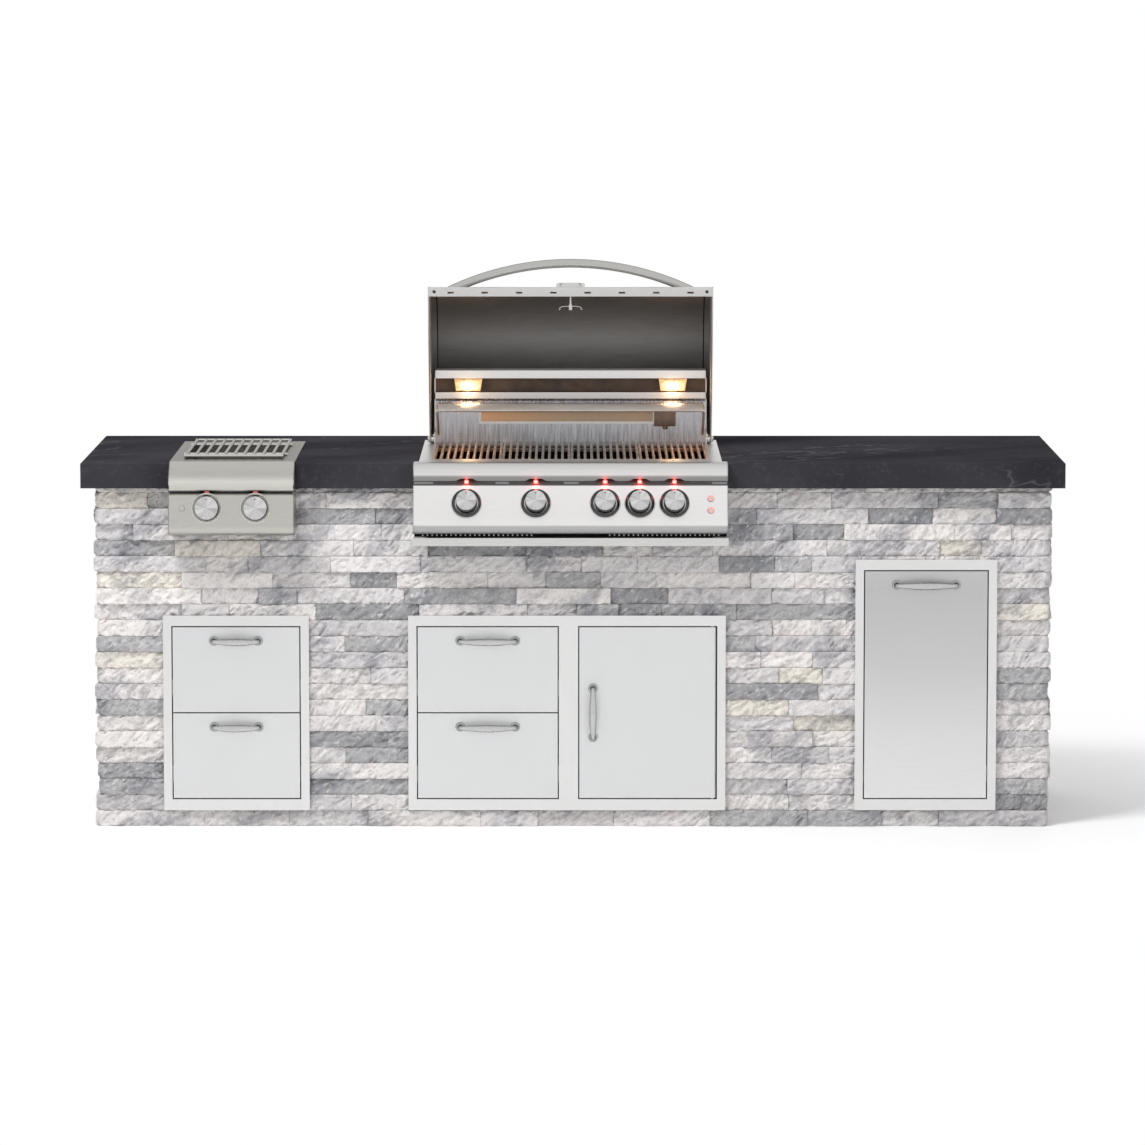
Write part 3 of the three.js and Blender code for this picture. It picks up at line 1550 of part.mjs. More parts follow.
// The side panel's outline: a sloping apron, a soft nose, a groove, the face and a lower bend.
function sidePanelLine(back) {
  const bendY = sideFaceBottomY + sidePanelBend * Math.cos(sideTiltRad);
  const bendZ = sideFaceBottomZ - sidePanelBend * Math.sin(sideTiltRad);
  return [
    [panelBack, deckTop],
    [-sideSlopeStart, deckTop],
    [-sideSlopeReach, deckTop - sideSlopeDrop],
    [-sideNoseReach, deckTop - sideNoseDrop],
    [-sideNoseReach, sideGrooveHeight + grooveWidth],
    [grooveDepth - sideNoseReach, sideGrooveHeight + grooveWidth / 2],
    [grooveDepth - sideNoseReach, sideGrooveHeight - grooveWidth / 2],
    [sideFaceTopY, sideFaceTopZ - grooveWidth / 2],
    ...arc(bendY, bendZ, sidePanelBend, 180 - sidePanelTilt, 270, bendSteps),
    [back, sidePanelBottom],
  ];
}

function makeSidePanel() {
  const line = sidePanelLine(fireboxFront - seatGap);
  const skin = prism("x", bentSheet(line, sheetGauge), sideOffset - sideHalf, sideOffset + sideHalf);
  const rings = sideKnobs.map((k) => bezel(k, sidePanelTilt, sideKnobRadius, sideBezelWidth));
  const holes = [
    ...sideKnobs.map((k) => faceHole(k.x, k.y, k.z, sidePanelTilt, stemRadius + runningGap)),
    faceHole(sideIgniter.x, sideIgniter.y, sideIgniter.z, sidePanelTilt, sideIgniterRadius + runningGap),
  ];
  const body = cut(join(skin, ...cheek(line, sideOffset, sideHalf, sidePanelBottom), ...rings), ...holes);
  piece(island, "side_burner_panel", body, brushedSteel);
  const group = faceGroup(island, sideIgniter.x, sideIgniter.y, sideIgniter.z, sidePanelTilt);
  piece(group, "side_igniter_button", buttonBody(sideIgniterRadius), polishedSteel);
}

// The side burner's deck with the open bowl below it.
function makeSideDeck() {
  const deckLow = topHeight + seatGap;
  const deck = cut(
    block(sideOffset - sideHalf, sideOffset + sideHalf, seatGap, sideBodyBack + sideDeckRearFlange, deckLow,
      deckTop),
    block(sideOffset - sideBayHalf, sideOffset + sideBayHalf, sideBayFront, sideBayBack,
      deckLow - cutOverrun, deckTop + cutOverrun),
  );
  const bowl = cut(
    block(sideOffset - sideBodyHalf, sideOffset + sideBodyHalf, fireboxFront, sideBodyBack, sideBodyBottom,
      deckTop - deckThickness / 2),
    block(sideOffset - sideBodyHalf + sheetGauge, sideOffset + sideBodyHalf - sheetGauge,
      fireboxFront + sheetGauge, sideBodyBack - sheetGauge, sideBodyBottom + sheetGauge, deckTop + cutOverrun),
  );
  piece(island, "side_burner_deck", join(deck, bowl), brushedSteel);
}

// The side burner's head: an outer and an inner ring on a cross of legs.
function makeSideBurnerHead() {
  const floor = sideBodyBottom + sheetGauge + seatGap;
  const ringZ = floor + burnerFoot;
  const y = sideBayFront + sideBayDepth / 2;
  const at = new THREE.Matrix4().makeTranslation(sideOffset, y, 0);
  const ring = (radius, width) =>
    turned(
      [
        [radius - width, ringZ],
        [radius, ringZ],
        [radius, ringZ + ringHeight],
        [radius - width, ringZ + ringHeight],
      ],
      roundSides,
      at,
    );
  const leg = ringWidth / 2;
  const reach = ringRadius - leg;
  const cross = [
    block(sideOffset - reach, sideOffset + reach, y - leg, y + leg, ringZ, ringZ + leg),
    block(sideOffset - leg, sideOffset + leg, y - reach, y + reach, ringZ, ringZ + leg),
  ];
  const column = rod([sideOffset, y, floor], [sideOffset, y, ringZ + leg / 2], burnerFootRadius, smallSides);
  const body = join(column, ...cross, ring(ringRadius, ringWidth), ring(innerRingRadius, ringWidth / 2));
  piece(island, "side_burner_head", body, brass);
}

// The side burner's grate: round rods over two end rods and two ties.
function makeSideGrate() {
  const y0 = sideBayFront + sideGrateEndGap;
  const y1 = sideBayBack - sideGrateEndGap;
  const half = sideBayHalf - sideGrateSideGap;
  const low = deckTop + seatGap + sideGrateRodRadius;
  const top = low + sideGrateRodRadius;
  const [x0, x1] = [sideOffset - half, sideOffset + half];
  const foot = sideGrateSideGap + sideGrateSeat;
  const pitch = (2 * half) / (sideGrateBarCount - 1);
  const bars = Array.from({ length: sideGrateBarCount }, (_, i) =>
    rod([x0 + i * pitch, y0, top], [x0 + i * pitch, y1, top], sideGrateRodRadius, rodSides),
  );
  const across = (y, z, past) => rod([x0 - past, y, z], [x1 + past, y, z], sideGrateRodRadius, rodSides);
  const ties = sideGrateCrossShares.map((share) => across(y0 + (y1 - y0) * share, low, foot));
  ties.push(across(y0, top, sideGrateRodRadius), across(y1, top, sideGrateRodRadius));
  piece(island, "side_burner_grate", join(...bars, ...ties), polishedSteel);
}

function makeSideBurner() {
  makeSideDeck();
  makeSidePanel();
  makeKnobs("side", sideKnobs, sidePanelTilt, sideKnobRadius, sideKnobLength);
  makeSideBurnerHead();
  makeSideGrate();
}

makeCountertop();
makeStone();
makeBackerBoard();
makeSteelFrame();
makeStorage();
makeGrill();
makeSideBurner();

// The island's own frame: the floor under the middle of its length and depth.
const bounds = new THREE.Box3().setFromObject(island);
island.position.y = -(bounds.min.y + bounds.max.y) / 2;

export default island;
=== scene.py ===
# %% [markdown]
# # An outdoor kitchen island
#
# The solid model of the island is loaded first. It fixes every size and place, and it knows
# which pieces move: the hood, the drawers, the door, the tray, the knobs and the buttons.
# Each cell after this one makes one piece or one finish round that frame.

# %% Load the frame
import math

import bmesh
import bpy
import numpy as np
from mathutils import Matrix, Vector


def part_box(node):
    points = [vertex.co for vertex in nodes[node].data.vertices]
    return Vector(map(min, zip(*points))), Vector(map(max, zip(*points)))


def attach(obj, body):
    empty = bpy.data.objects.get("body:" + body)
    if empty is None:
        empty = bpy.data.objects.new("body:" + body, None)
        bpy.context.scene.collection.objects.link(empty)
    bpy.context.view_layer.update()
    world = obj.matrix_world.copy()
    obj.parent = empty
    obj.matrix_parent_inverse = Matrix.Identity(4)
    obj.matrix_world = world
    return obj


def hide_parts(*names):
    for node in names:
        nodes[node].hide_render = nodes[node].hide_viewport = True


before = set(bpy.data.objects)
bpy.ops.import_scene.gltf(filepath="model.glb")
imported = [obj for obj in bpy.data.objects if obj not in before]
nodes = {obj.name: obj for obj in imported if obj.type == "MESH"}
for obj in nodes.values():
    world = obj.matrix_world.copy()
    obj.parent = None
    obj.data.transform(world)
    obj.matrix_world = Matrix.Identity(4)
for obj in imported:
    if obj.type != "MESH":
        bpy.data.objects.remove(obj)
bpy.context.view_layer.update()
MM = 0.001

# %% [markdown]
# ## Camera
#
# The photograph was taken from the front, from far away and a little above the worktop, so the
# worktop shows as a thin band. A long lens from the same height and distance gives that band.

# %% Place the camera
top_low, top_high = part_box("countertop")
FRONT = top_low.y
TOP = top_high.z
CAMERA_X = -0.001
CAMERA_SETBACK = 13.8
CAMERA_RISE = 1.29
AIM_HEIGHT = 0.6414
SENSOR = 36.0
PICTURE_WIDTH = 2.839

aim = Vector((CAMERA_X, FRONT, AIM_HEIGHT))
eye = Vector((CAMERA_X, FRONT - CAMERA_SETBACK, TOP + CAMERA_RISE))
camera_data = bpy.data.cameras.new("camera")
camera_data.sensor_width = SENSOR
camera_data.lens = SENSOR * (aim - eye).length / PICTURE_WIDTH
camera = bpy.data.objects.new("camera", camera_data)
camera.location = eye
camera.rotation_euler = (aim - eye).to_track_quat("-Z", "Y").to_euler()
bpy.context.scene.collection.objects.link(camera)
bpy.context.scene.camera = camera
print("lens", round(camera_data.lens, 1), "mm, eye", [round(v, 2) for v in eye])

# %% [markdown]
# ## Light, floor and background
#
# Every shader below is a small graph. One helper makes a node, sets it up and feeds its inputs.

# %% A helper for shader nodes
def node(tree, kind, inputs=(), **settings):
    """A new shader node. Its settings come first, since they decide which inputs it has. Each input
    then takes a number, a colour or another node's output."""
    made = tree.nodes.new("ShaderNode" + kind)
    for name, value in settings.items():
        setattr(made, name, value)
    for name, value in dict(inputs).items():
        socket = made.inputs[name]
        if isinstance(value, bpy.types.NodeSocket):
            tree.links.new(value, socket)
        else:
            socket.default_value = (*value, 1) if socket.type == "RGBA" else value
    return made


# %% [markdown]
# A studio shot of steel needs something pale to reflect. The world is white to the camera and to
# mirror rays and dimmer as a lamp, and three large panels shape the light. The floor is pale paint
# that takes the island's shadow, and it turns into plain white a few metres out.

# %% World and lamps
scene = bpy.context.scene
scene.view_settings.view_transform = "Standard"
WHITE = (1, 1, 1)
WORLD_LIGHT = 0.55


def seen_directly(tree):
    """One where a ray comes from the camera, a mirror or glass, and nought for soft light."""
    path = node(tree, "LightPath")
    total = path.outputs["Is Camera Ray"]
    for kind in ("Is Glossy Ray", "Is Transmission Ray"):
        total = node(tree, "Math", {0: total, 1: path.outputs[kind]}, use_clamp=True).outputs[0]
    return total


world = bpy.data.worlds.new("studio")
scene.world = world
world.use_nodes = True
tree = world.node_tree
tree.nodes.clear()
lit_by = node(tree, "Background", {"Color": WHITE, "Strength": WORLD_LIGHT})
shown = node(tree, "Background", {"Color": WHITE})
mix = node(tree, "MixShader", {"Fac": seen_directly(tree), 1: lit_by.outputs[0], 2: shown.outputs[0]})
node(tree, "OutputWorld", {"Surface": mix.outputs[0]})


def panel_lamp(name, place, target, size, power):
    """An area lamp that faces its target. Mirror rays pass it by, so it leaves no hot spot on steel."""
    data = bpy.data.lights.new(name, "AREA")
    data.shape = "RECTANGLE"
    data.size, data.size_y = size
    data.energy = power
    lamp = bpy.data.objects.new(name, data)
    lamp.location = place
    lamp.rotation_euler = (Vector(target) - Vector(place)).to_track_quat("-Z", "Y").to_euler()
    lamp.visible_glossy = False
    scene.collection.objects.link(lamp)
    print(f"{name} lamp: {power} W over {size[0]} x {size[1]} m")


panel_lamp("key", (-2.0, -2.7, 4.9), (0.15, 0, 0.4), (1.9, 1.4), 225)
panel_lamp("fill", (3.4, -4.6, 2.6), (0, 0, 0.5), (2.4, 2.4), 50)
panel_lamp("rim", (0.4, 3.6, 3.4), (0, 0, 0.9), (3.4, 1.4), 50)

# %% Floor
REACH = 30.0
FADE_FROM, FADE_TO = 1.3, 2.6

floor_mesh = bpy.data.meshes.new("floor")
floor_corners = [(-REACH, -REACH, 0), (REACH, -REACH, 0), (REACH, REACH, 0), (-REACH, REACH, 0)]
floor_mesh.from_pydata(floor_corners, [], [(0, 1, 2, 3)])
floor = bpy.data.objects.new("floor", floor_mesh)
scene.collection.objects.link(floor)
paint = bpy.data.materials.new("pale floor")
paint.use_nodes = True
floor_mesh.materials.append(paint)
tree = paint.node_tree
shader = tree.nodes["Principled BSDF"]
shader.inputs["Base Color"].default_value = (0.93, 0.93, 0.93, 1)
shader.inputs["Roughness"].default_value = 0.9
far = node(tree, "VectorMath", {0: node(tree, "TexCoord").outputs["Object"]}, operation="LENGTH")
fade = node(tree, "MapRange", {
    "Value": far.outputs["Value"], "From Min": FADE_FROM, "From Max": FADE_TO,
}, interpolation_type="SMOOTHSTEP")
gate = node(tree, "Math", {0: fade.outputs[0], 1: seen_directly(tree)}, operation="MULTIPLY")
plain = node(tree, "Emission")
mix = node(tree, "MixShader", {"Fac": gate.outputs[0], 1: shader.outputs[0], 2: plain.outputs[0]})
tree.links.new(mix.outputs[0], tree.nodes["Material Output"].inputs["Surface"])
print("floor fades to white from", FADE_FROM, "to", FADE_TO, "m")

# %% [markdown]
# ## Finishes
#
# Every finish is built from nodes that read the object's own coordinates, in metres. A finish
# starts from the plain shader. Then a few helpers hang noise on its colour, its roughness and its
# bump.

# %% Helpers for finishes
def principled(material):
    """The inputs of a finish's shader."""
    return material.node_tree.nodes["Principled BSDF"].inputs


def finish(name, colour, roughness, metallic=0.0, specular=0.5, edge=1.0):
    """A plain Principled finish, ready for more nodes. edge is how much a metal mirrors when it is
    seen at a low angle."""
    material = bpy.data.materials.new(name)
    material.use_nodes = True
    inputs = principled(material)
    inputs["Base Color"].default_value = (*colour, 1)
    inputs["Roughness"].default_value = roughness
    inputs["Metallic"].default_value = metallic
    inputs["Specular IOR Level"].default_value = specular
    inputs["Specular Tint"].default_value = (edge, edge, edge, 1)
    return material


def drive(material, socket, value):
    """Lead a value into one of the shader's sockets."""
    material.node_tree.links.new(value, principled(material)[socket])


def tone_of(material):
    """The output that feeds a finish's colour."""
    return principled(material)["Base Color"].links[0].from_socket


def noise(material, scale, detail=3.0, stretch=(1, 1, 1), turn=(0, 0, 0), rough=0.5):
    """Noise over the object's coordinates, turned and then squeezed along each axis."""
    tree = material.node_tree
    place = node(tree, "TexCoord").outputs["Object"]
    mapping = node(tree, "Mapping", {
        "Vector": place, "Scale": [1 / s for s in stretch], "Rotation": turn,
    }, vector_type="TEXTURE")
    texture = node(tree, "TexNoise", {
        "Vector": mapping.outputs[0], "Scale": scale, "Detail": detail, "Roughness": rough,
    })
    return texture.outputs["Fac"]


def remap(value, low, high, to_low=0.0, to_high=1.0):
    """A value carried from one range to another, clamped at both ends."""
    return node(value.id_data, "MapRange", {
        "Value": value, "From Min": low, "From Max": high, "To Min": to_low, "To Max": to_high,
    }).outputs[0]


def spread(value, to_low=0.0, to_high=1.0):
    """The middle of a noise, from 0.3 to 0.7, where nearly all of it lies, carried to a range."""
    return remap(value, 0.3, 0.7, to_low, to_high)


def blend(factor, first, second, mode="MIX"):
    """Two colours mixed by a factor. A colour may be a triple or another node's output."""
    inputs = {0: factor, 6: first, 7: second}
    tree = next(v for v in inputs.values() if isinstance(v, bpy.types.NodeSocket)).id_data
    return node(tree, "Mix", inputs, data_type="RGBA", blend_type=mode).outputs[2]


def bump(material, height, distance, strength=1.0, under=None):
    """Raise the surface by a height times a distance in metres, on top of an earlier bump."""
    inputs = {"Height": height, "Distance": distance, "Strength": strength}
    if under is not None:
        inputs["Normal"] = under
    raised = node(material.node_tree, "Bump", inputs).outputs[0]
    drive(material, "Normal", raised)
    return raised


def along(material, axis):
    """The object's own X, Y or Z, in metres."""
    tree = material.node_tree
    return node(tree, "SeparateXYZ", {0: node(tree, "TexCoord").outputs["Object"]}).outputs[axis]


def uneven(name, colour, roughness, scale, low, high, **kind):
    """A finish of one colour whose roughness drifts between two values with noise of that scale."""
    material = finish(name, colour, roughness, **kind)
    drive(material, "Roughness", spread(noise(material, scale), low, high))
    return material


# %% [markdown]
# Stainless sheet is brushed in one direction. Noise that is about half a millimetre across and five
# centimetres long gives the fine lines, and slower noise gives the cloudy change of tone that a
# brushed sheet shows.

# %% Steel
ALONG_X, ALONG_Z = (3, 260, 260), (260, 260, 3)


def brushed(name, colour, roughness, direction, contrast, edge=1.0):
    """Brushed steel: lines and clouds vary the colour, and the lines the roughness and the bump."""
    steel = finish(name, colour, roughness, metallic=1.0, edge=edge)
    lines = noise(steel, 6.0, detail=4.0, stretch=direction)
    clouds = noise(steel, 2.2, detail=2.0)
    dark = tuple(c * (1 - 2 * contrast) for c in colour)
    light = tuple(min(1.0, c * (1 + contrast)) for c in colour)
    toned = blend(spread(lines), dark, light)
    drive(steel, "Base Color", blend(spread(clouds, 0, 0.35), toned, dark))
    drive(steel, "Roughness", spread(lines, roughness - 0.06, roughness + 0.08))
    bump(steel, lines, 0.00004)
    return steel


def painted_shading_by_height(material, stops):
    """Painted reflections and shade by height: a finish's colour times a grey that is set at each height
    in metres.
    """
    low, high = stops[0][0], stops[-1][0]
    ramp = node(material.node_tree, "ValToRGB", {0: remap(along(material, 2), low, high)})
    spots = ramp.color_ramp.elements
    for number, (height, grey) in enumerate(stops):
        spot = spots[number] if number < 2 else spots.new(1.0)
        spot.position = (height - low) / (high - low)
        spot.color = (grey, grey, grey, 1)
    drive(material, "Base Color", blend(1.0, tone_of(material), ramp.outputs[0], "MULTIPLY"))


front_steel = brushed("front steel", (0.71, 0.715, 0.72), 0.42, ALONG_Z, 0.015)
flange_steel = brushed("flange steel", (0.75, 0.75, 0.745), 0.40, ALONG_X, 0.015)
grill_steel = brushed("grill steel", (0.66, 0.655, 0.64), 0.30, ALONG_X, 0.05)
side_steel = brushed("side burner steel", (0.56, 0.55, 0.51), 0.32, ALONG_X, 0.05)
inner_steel = brushed("hood lining", (0.46, 0.45, 0.443), 0.58, ALONG_X, 0.14)
polished = uneven("polished steel", (0.60, 0.595, 0.585), 0.18, 40, 0.12, 0.22, metallic=1.0)
satin = uneven("satin handle", (0.54, 0.54, 0.54), 0.3, 60, 0.22, 0.34, metallic=1.0, edge=0.2)
# The posts are a darker copy of the bar's steel: painted shade round the rosettes.
painted_shade_post_steel = uneven("handle post", (0.38, 0.38, 0.38), 0.3, 60, 0.22, 0.36, metallic=1.0, edge=0.2)
dark_chrome = uneven("dark chrome", (0.07, 0.072, 0.075), 0.2, 60, 0.15, 0.28, metallic=1.0)
# Black for the needle and the marks, and painted shade: black boxes where slots, seams and grooves lie
# in shade.
black_and_painted_shade = uneven("black and painted shade", (0.006, 0.006, 0.006), 0.8, 50, 0.7, 0.9, specular=0.1)
print("finishes so far", [material.name for material in bpy.data.materials])

# %% [markdown]
# Heat turns stainless straw and brown. The grates, the lamp bay and the burners carry this tint
# in patches, under fine lines of soot.

# %% Heat tint
SOOT = (0.1, 0.08, 0.07)


def tinted(name, cool, warm, roughness, scale, soot=0.25, edge=1.0):
    """Steel that drifts between a cool and a warm tone, under fine lines of soot."""
    steel = finish(name, cool, roughness, metallic=1.0, edge=edge)
    patches = noise(steel, scale, detail=4.0)
    lines = noise(steel, 60.0, detail=2.0)
    tone = blend(remap(patches, 0.35, 0.65), cool, warm)
    drive(steel, "Base Color", blend(remap(lines, 0.35, 0.65, 0, soot), tone, SOOT))
    drive(steel, "Roughness", spread(lines, roughness - 0.08, roughness + 0.12))
    bump(steel, lines, 0.0001)
    return steel


bay_steel = tinted("lamp bay steel", (0.085, 0.07, 0.06), (0.12, 0.085, 0.065), 0.45, 14)
burner_steel = tinted("burner steel", (0.2, 0.17, 0.15), (0.3, 0.2, 0.14), 0.45, 12)
rod_steel = tinted("rod steel", (0.62, 0.59, 0.56), (0.56, 0.49, 0.43), 0.34, 5, soot=0.06, edge=0.8)
print("finishes so far", len(bpy.data.materials))

# %% [markdown]
# ## Surfaces from arrays
#
# Every new shape below is a grid of points worked out with numpy. The grid's rows and columns
# become quads, and a grid that wraps round or has lids is a closed body. Places are written in
# millimetres with Y counted from the worktop's front edge, as a kitchen fitter would measure, and
# they are turned into metres in the frame's own place when the mesh is made.

# %% Grids, lids and joining
def surface(grid, wrap_rows=False, wrap_columns=False, lids=False):
    """Quads over a grid of points (rows, columns, 3). Lids close the first and the last row."""
    rows, columns = grid.shape[:2]
    r = np.arange(rows if wrap_rows else rows - 1)[:, None]
    c = np.arange(columns if wrap_columns else columns - 1)[None, :]
    r2, c2 = (r + 1) % rows, (c + 1) % columns
    corners = (r * columns + c, r * columns + c2, r2 * columns + c2, r2 * columns + c)
    faces = np.stack(np.broadcast_arrays(*corners), -1).reshape(-1, 4).tolist()
    if lids:
        first = list(range(columns))
        faces += [first[::-1], [f + (rows - 1) * columns for f in first]]
    return grid.reshape(-1, 3), faces


def outer_ring(grid):
    """The numbers of a grid's outermost points, in order round it."""
    rows, columns = grid.shape[:2]
    number = np.arange(rows * columns).reshape(rows, columns)
    return [int(i) for i in (*number[0], *number[1:, -1], *number[-1, -2::-1], *number[-2:0:-1, 0])]


def together(*shapes):
    """Several shapes as one: their points in a row, their faces counted on from each other."""
    points, faces, start = [], [], 0
    for p, f in shapes:
        points.append(p)
        faces += [[i + start for i in face] for face in f]
        start += len(p)
    return np.concatenate(points), faces


def placed(shape, place):
    """A shape moved to a place: an origin and three directions, as rows of a 4 x 3 array."""
    return place[0] + shape[0] @ place[1:], shape[1]


# %% Prisms, turned bodies and tubes
def prism(outline, x0, x1):
    """A closed outline in (y, z) carried along X from x0 to x1, with a lid at each end."""
    outline = np.asarray(outline, float)
    ends = [np.column_stack([np.full(len(outline), x), outline]) for x in (x0, x1)]
    return surface(np.stack(ends), wrap_columns=True, lids=True)


def box(x0, x1, y0, y1, z0, z1):
    """A plain block between two corners."""
    return prism([(y0, z0), (y1, z0), (y1, z1), (y0, z1)], x0, x1)


AT_ORIGIN = np.array([[0, 0, 0], [1, 0, 0], [0, 1, 0], [0, 0, 1]], float)


def turned(profile, place, sides, ring=False):
    """A profile of (radius, height) points turned about a place's axis: (r cos a, r sin a, h).
    It starts and ends on the axis, or it closes on itself where the body is a ring."""
    r, h = np.asarray(profile, float).T
    a = np.linspace(0, 2 * math.pi, sides, endpoint=False)[:, None]
    grid = np.stack([r * np.cos(a), r * np.sin(a), np.broadcast_to(h, (sides, len(h)))], -1)
    return placed(surface(grid, wrap_rows=True, wrap_columns=ring), place)


def pin(radius, low, high, place, sides):
    """A plain cylinder about a place's axis, from one height to another."""
    return turned([(0, low), (radius, low), (radius, high), (0, high)], place, sides)


def tube(path, radius, sides):
    """A round tube along a path. Each ring stands square to the path, and radius may vary.
    The rings are kept from twisting by carrying one side direction along the path."""
    path = np.asarray(path, float)
    ahead = np.gradient(path, axis=0)
    ahead /= np.linalg.norm(ahead, axis=1)[:, None]
    side = np.cross(ahead[0], [0.0, 0.0, 1.0])
    if np.linalg.norm(side) < 0.1:
        side = np.cross(ahead[0], [1.0, 0.0, 0.0])
    sideways = []
    for t in ahead:
        side = side - t * (side @ t)
        side = side / np.linalg.norm(side)
        sideways.append(side)
    side = np.array(sideways)
    up = np.cross(side, ahead)
    a = np.linspace(0, 2 * math.pi, sides, endpoint=False)[None, :, None]
    thick = np.broadcast_to(np.asarray(radius, float), (len(path),))[:, None, None]
    grid = path[:, None] + thick * (np.cos(a) * side[:, None] + np.sin(a) * up[:, None])
    return surface(grid, wrap_columns=True, lids=True)


# %% Lines for bent sheet
def softened(points, radius, steps):
    """A folded line with its inner corners replaced by quadratic curves that start and end one
    radius from the corner: (1-t)²A + 2t(1-t)B + t²C."""
    points = [np.asarray(p, float) for p in points]
    line = [points[0]]
    t = np.linspace(0, 1, steps)[:, None]
    for a, b, c in zip(points, points[1:], points[2:]):
        back, on = a - b, c - b
        start = b + back / np.linalg.norm(back) * min(radius, np.linalg.norm(back) * 0.49)
        end = b + on / np.linalg.norm(on) * min(radius, np.linalg.norm(on) * 0.49)
        line += list((1 - t) ** 2 * start + 2 * t * (1 - t) * b + t**2 * end)
    return np.array(line + [points[-1]])


def offset(line, gauge):
    """A folded line moved to its left by a gauge, along the mitre of each fold."""
    line = np.asarray(line, float)
    step = np.diff(line, axis=0)
    normal = np.column_stack([-step[:, 1], step[:, 0]]) / np.linalg.norm(step, axis=1)[:, None]
    before, after = normal[[0, *range(len(normal))]], normal[[*range(len(normal)), -1]]
    return line + (gauge / (1 + (before * after).sum(1)))[:, None] * (before + after)


def bent_sheet(line, gauge, start=0.0):
    """The outline of a sheet that follows a folded line, from one offset to another."""
    return np.concatenate([offset(line, start), offset(line, gauge)[::-1]])


def arc(y, z, radius, start, end, steps):
    """Points on a circle in (y, z), angles in degrees from the +Y direction."""
    a = np.radians(np.linspace(start, end, steps))
    return np.column_stack([y + radius * np.cos(a), z + radius * np.sin(a)])


# %% [markdown]
# A helper turns shapes into one Blender object. It merges doubled points, turns the faces outwards,
# smooths what is round and keeps folds sharp. It then hangs the piece on the body it rides on, hides
# the solids it stands for and gives it its finishes.

# %% Make a piece
def outward(mesh):
    """Merge doubled points and turn every closed shell's faces outwards."""
    work = bmesh.new()
    work.from_mesh(mesh)
    bmesh.ops.remove_doubles(work, verts=work.verts, dist=1e-6)
    bmesh.ops.recalc_face_normals(work, faces=work.faces)
    work.to_mesh(mesh)
    work.free()


def drilled(shape, *drills):
    """A closed shape less some other closed shapes, by an exact boolean on throwaway objects."""
    things = []
    for points, faces in (shape, together(*drills)):
        mesh = bpy.data.meshes.new("blank")
        mesh.from_pydata((points * MM).tolist(), [], faces)
        outward(mesh)
        things.append(bpy.data.objects.new("blank", mesh))
        scene.collection.objects.link(things[-1])
    cutter = things[0].modifiers.new("drill", "BOOLEAN")
    cutter.operation, cutter.solver, cutter.object = "DIFFERENCE", "EXACT", things[1]
    cut = things[0].evaluated_get(bpy.context.evaluated_depsgraph_get()).to_mesh()
    points = np.empty(3 * len(cut.vertices), np.float32)
    cut.vertices.foreach_get("co", points)
    faces = [list(polygon.vertices) for polygon in cut.polygons]
    for thing in things:
        bpy.data.meshes.remove(thing.data)
    return points.reshape(-1, 3).astype(float) / MM, faces


def make_piece(name, shapes, body, stands_for=(), sharp=32, turn=True, values=None):
    """One object from a list of (shape, material). Points come in fitter's millimetres. The values
    are a colour or a place for each point, for a finish to read."""
    points, faces = together(*[shape for shape, _ in shapes])
    world_points = (points + [0, FRONT / MM, 0]) * MM
    mesh = bpy.data.meshes.new(name)
    mesh.from_pydata(world_points.tolist(), [], faces)
    counts = [len(shape[1]) for shape, _ in shapes]
    finishes = list(dict.fromkeys(material for _, material in shapes))
    for material in finishes:
        mesh.materials.append(material)
    slots = np.repeat([finishes.index(material) for _, material in shapes], counts)
    mesh.polygons.foreach_set("material_index", slots.astype(np.int32))
    if values is not None:
        given = mesh.attributes.new("value", "FLOAT_COLOR", "POINT")
        given.data.foreach_set("color", values.astype(np.float32).ravel())
    if turn:
        outward(mesh)
    mesh.polygons.foreach_set("use_smooth", np.ones(len(mesh.polygons), bool))
    mesh.set_sharp_from_angle(angle=math.radians(sharp))
    piece = bpy.data.objects.new(name, mesh)
    scene.collection.objects.link(piece)
    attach(piece, body)
    if stands_for:
        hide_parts(*stands_for)
    print(f"{name}: {len(mesh.polygons)} faces on {body}")


def with_alpha(values):
    """Three values for each point and a one, as a colour attribute holds them."""
    return np.column_stack([values, np.ones(len(values))])


# %% [markdown]
# ## Ledger stone
#
# The walls are rows of split stones 39.9 mm high and of random length. Each stone is its own
# closed grid. Its outer ring lies on the backer, the next ring is the worn edge, and the points
# within stand out by the stone's own depth, a slight tilt and the cleft of the split face. The
# cleft is value noise drawn out along a slanting direction, as the grain of the quartzite runs.

# %% Value noise and the split face
rng = np.random.default_rng(22)
LATTICE = rng.random(1 << 16)


def value_noise(x, y, seed):
    """Random numbers on a lattice, blended in each square with the fade t²(3-2t) along both sides."""
    i, j = np.floor(x).astype(np.int64), np.floor(y).astype(np.int64)
    u, v = x - i, y - j
    u, v = u * u * (3 - 2 * u), v * v * (3 - 2 * v)

    def at(a, b):
        return LATTICE[(a * 7919 + b * 104729 + seed * 12997) & 0xFFFF]

    near = (1 - u) * at(i, j) + u * at(i + 1, j)
    far = (1 - u) * at(i, j + 1) + u * at(i + 1, j + 1)
    return (1 - v) * near + v * far


def cleft(x, z, seed):
    """Height of a split face in millimetres: broad noise, two sizes of sharp ridges 1 - 2|n - 1/2|
    drawn out along the grain, and fine noise."""
    grain = math.radians(28 + 14 * (seed % 3))
    a = x * math.cos(grain) + z * math.sin(grain)
    b = z * math.cos(grain) - x * math.sin(grain)
    broad = value_noise(a / 52, b / 15, seed) - 0.5
    ridge = 0.5 - np.abs(value_noise(a / 24, b / 10, seed + 5) - 0.5) * 2
    chips = 0.5 - np.abs(value_noise(a / 13, b / 7, seed + 7) - 0.5) * 2
    fine = value_noise(x / 5.5, z / 4.5, seed + 9) - 0.5
    return 6.5 * broad + 6.0 * ridge + 4.4 * chips + 2.6 * fine


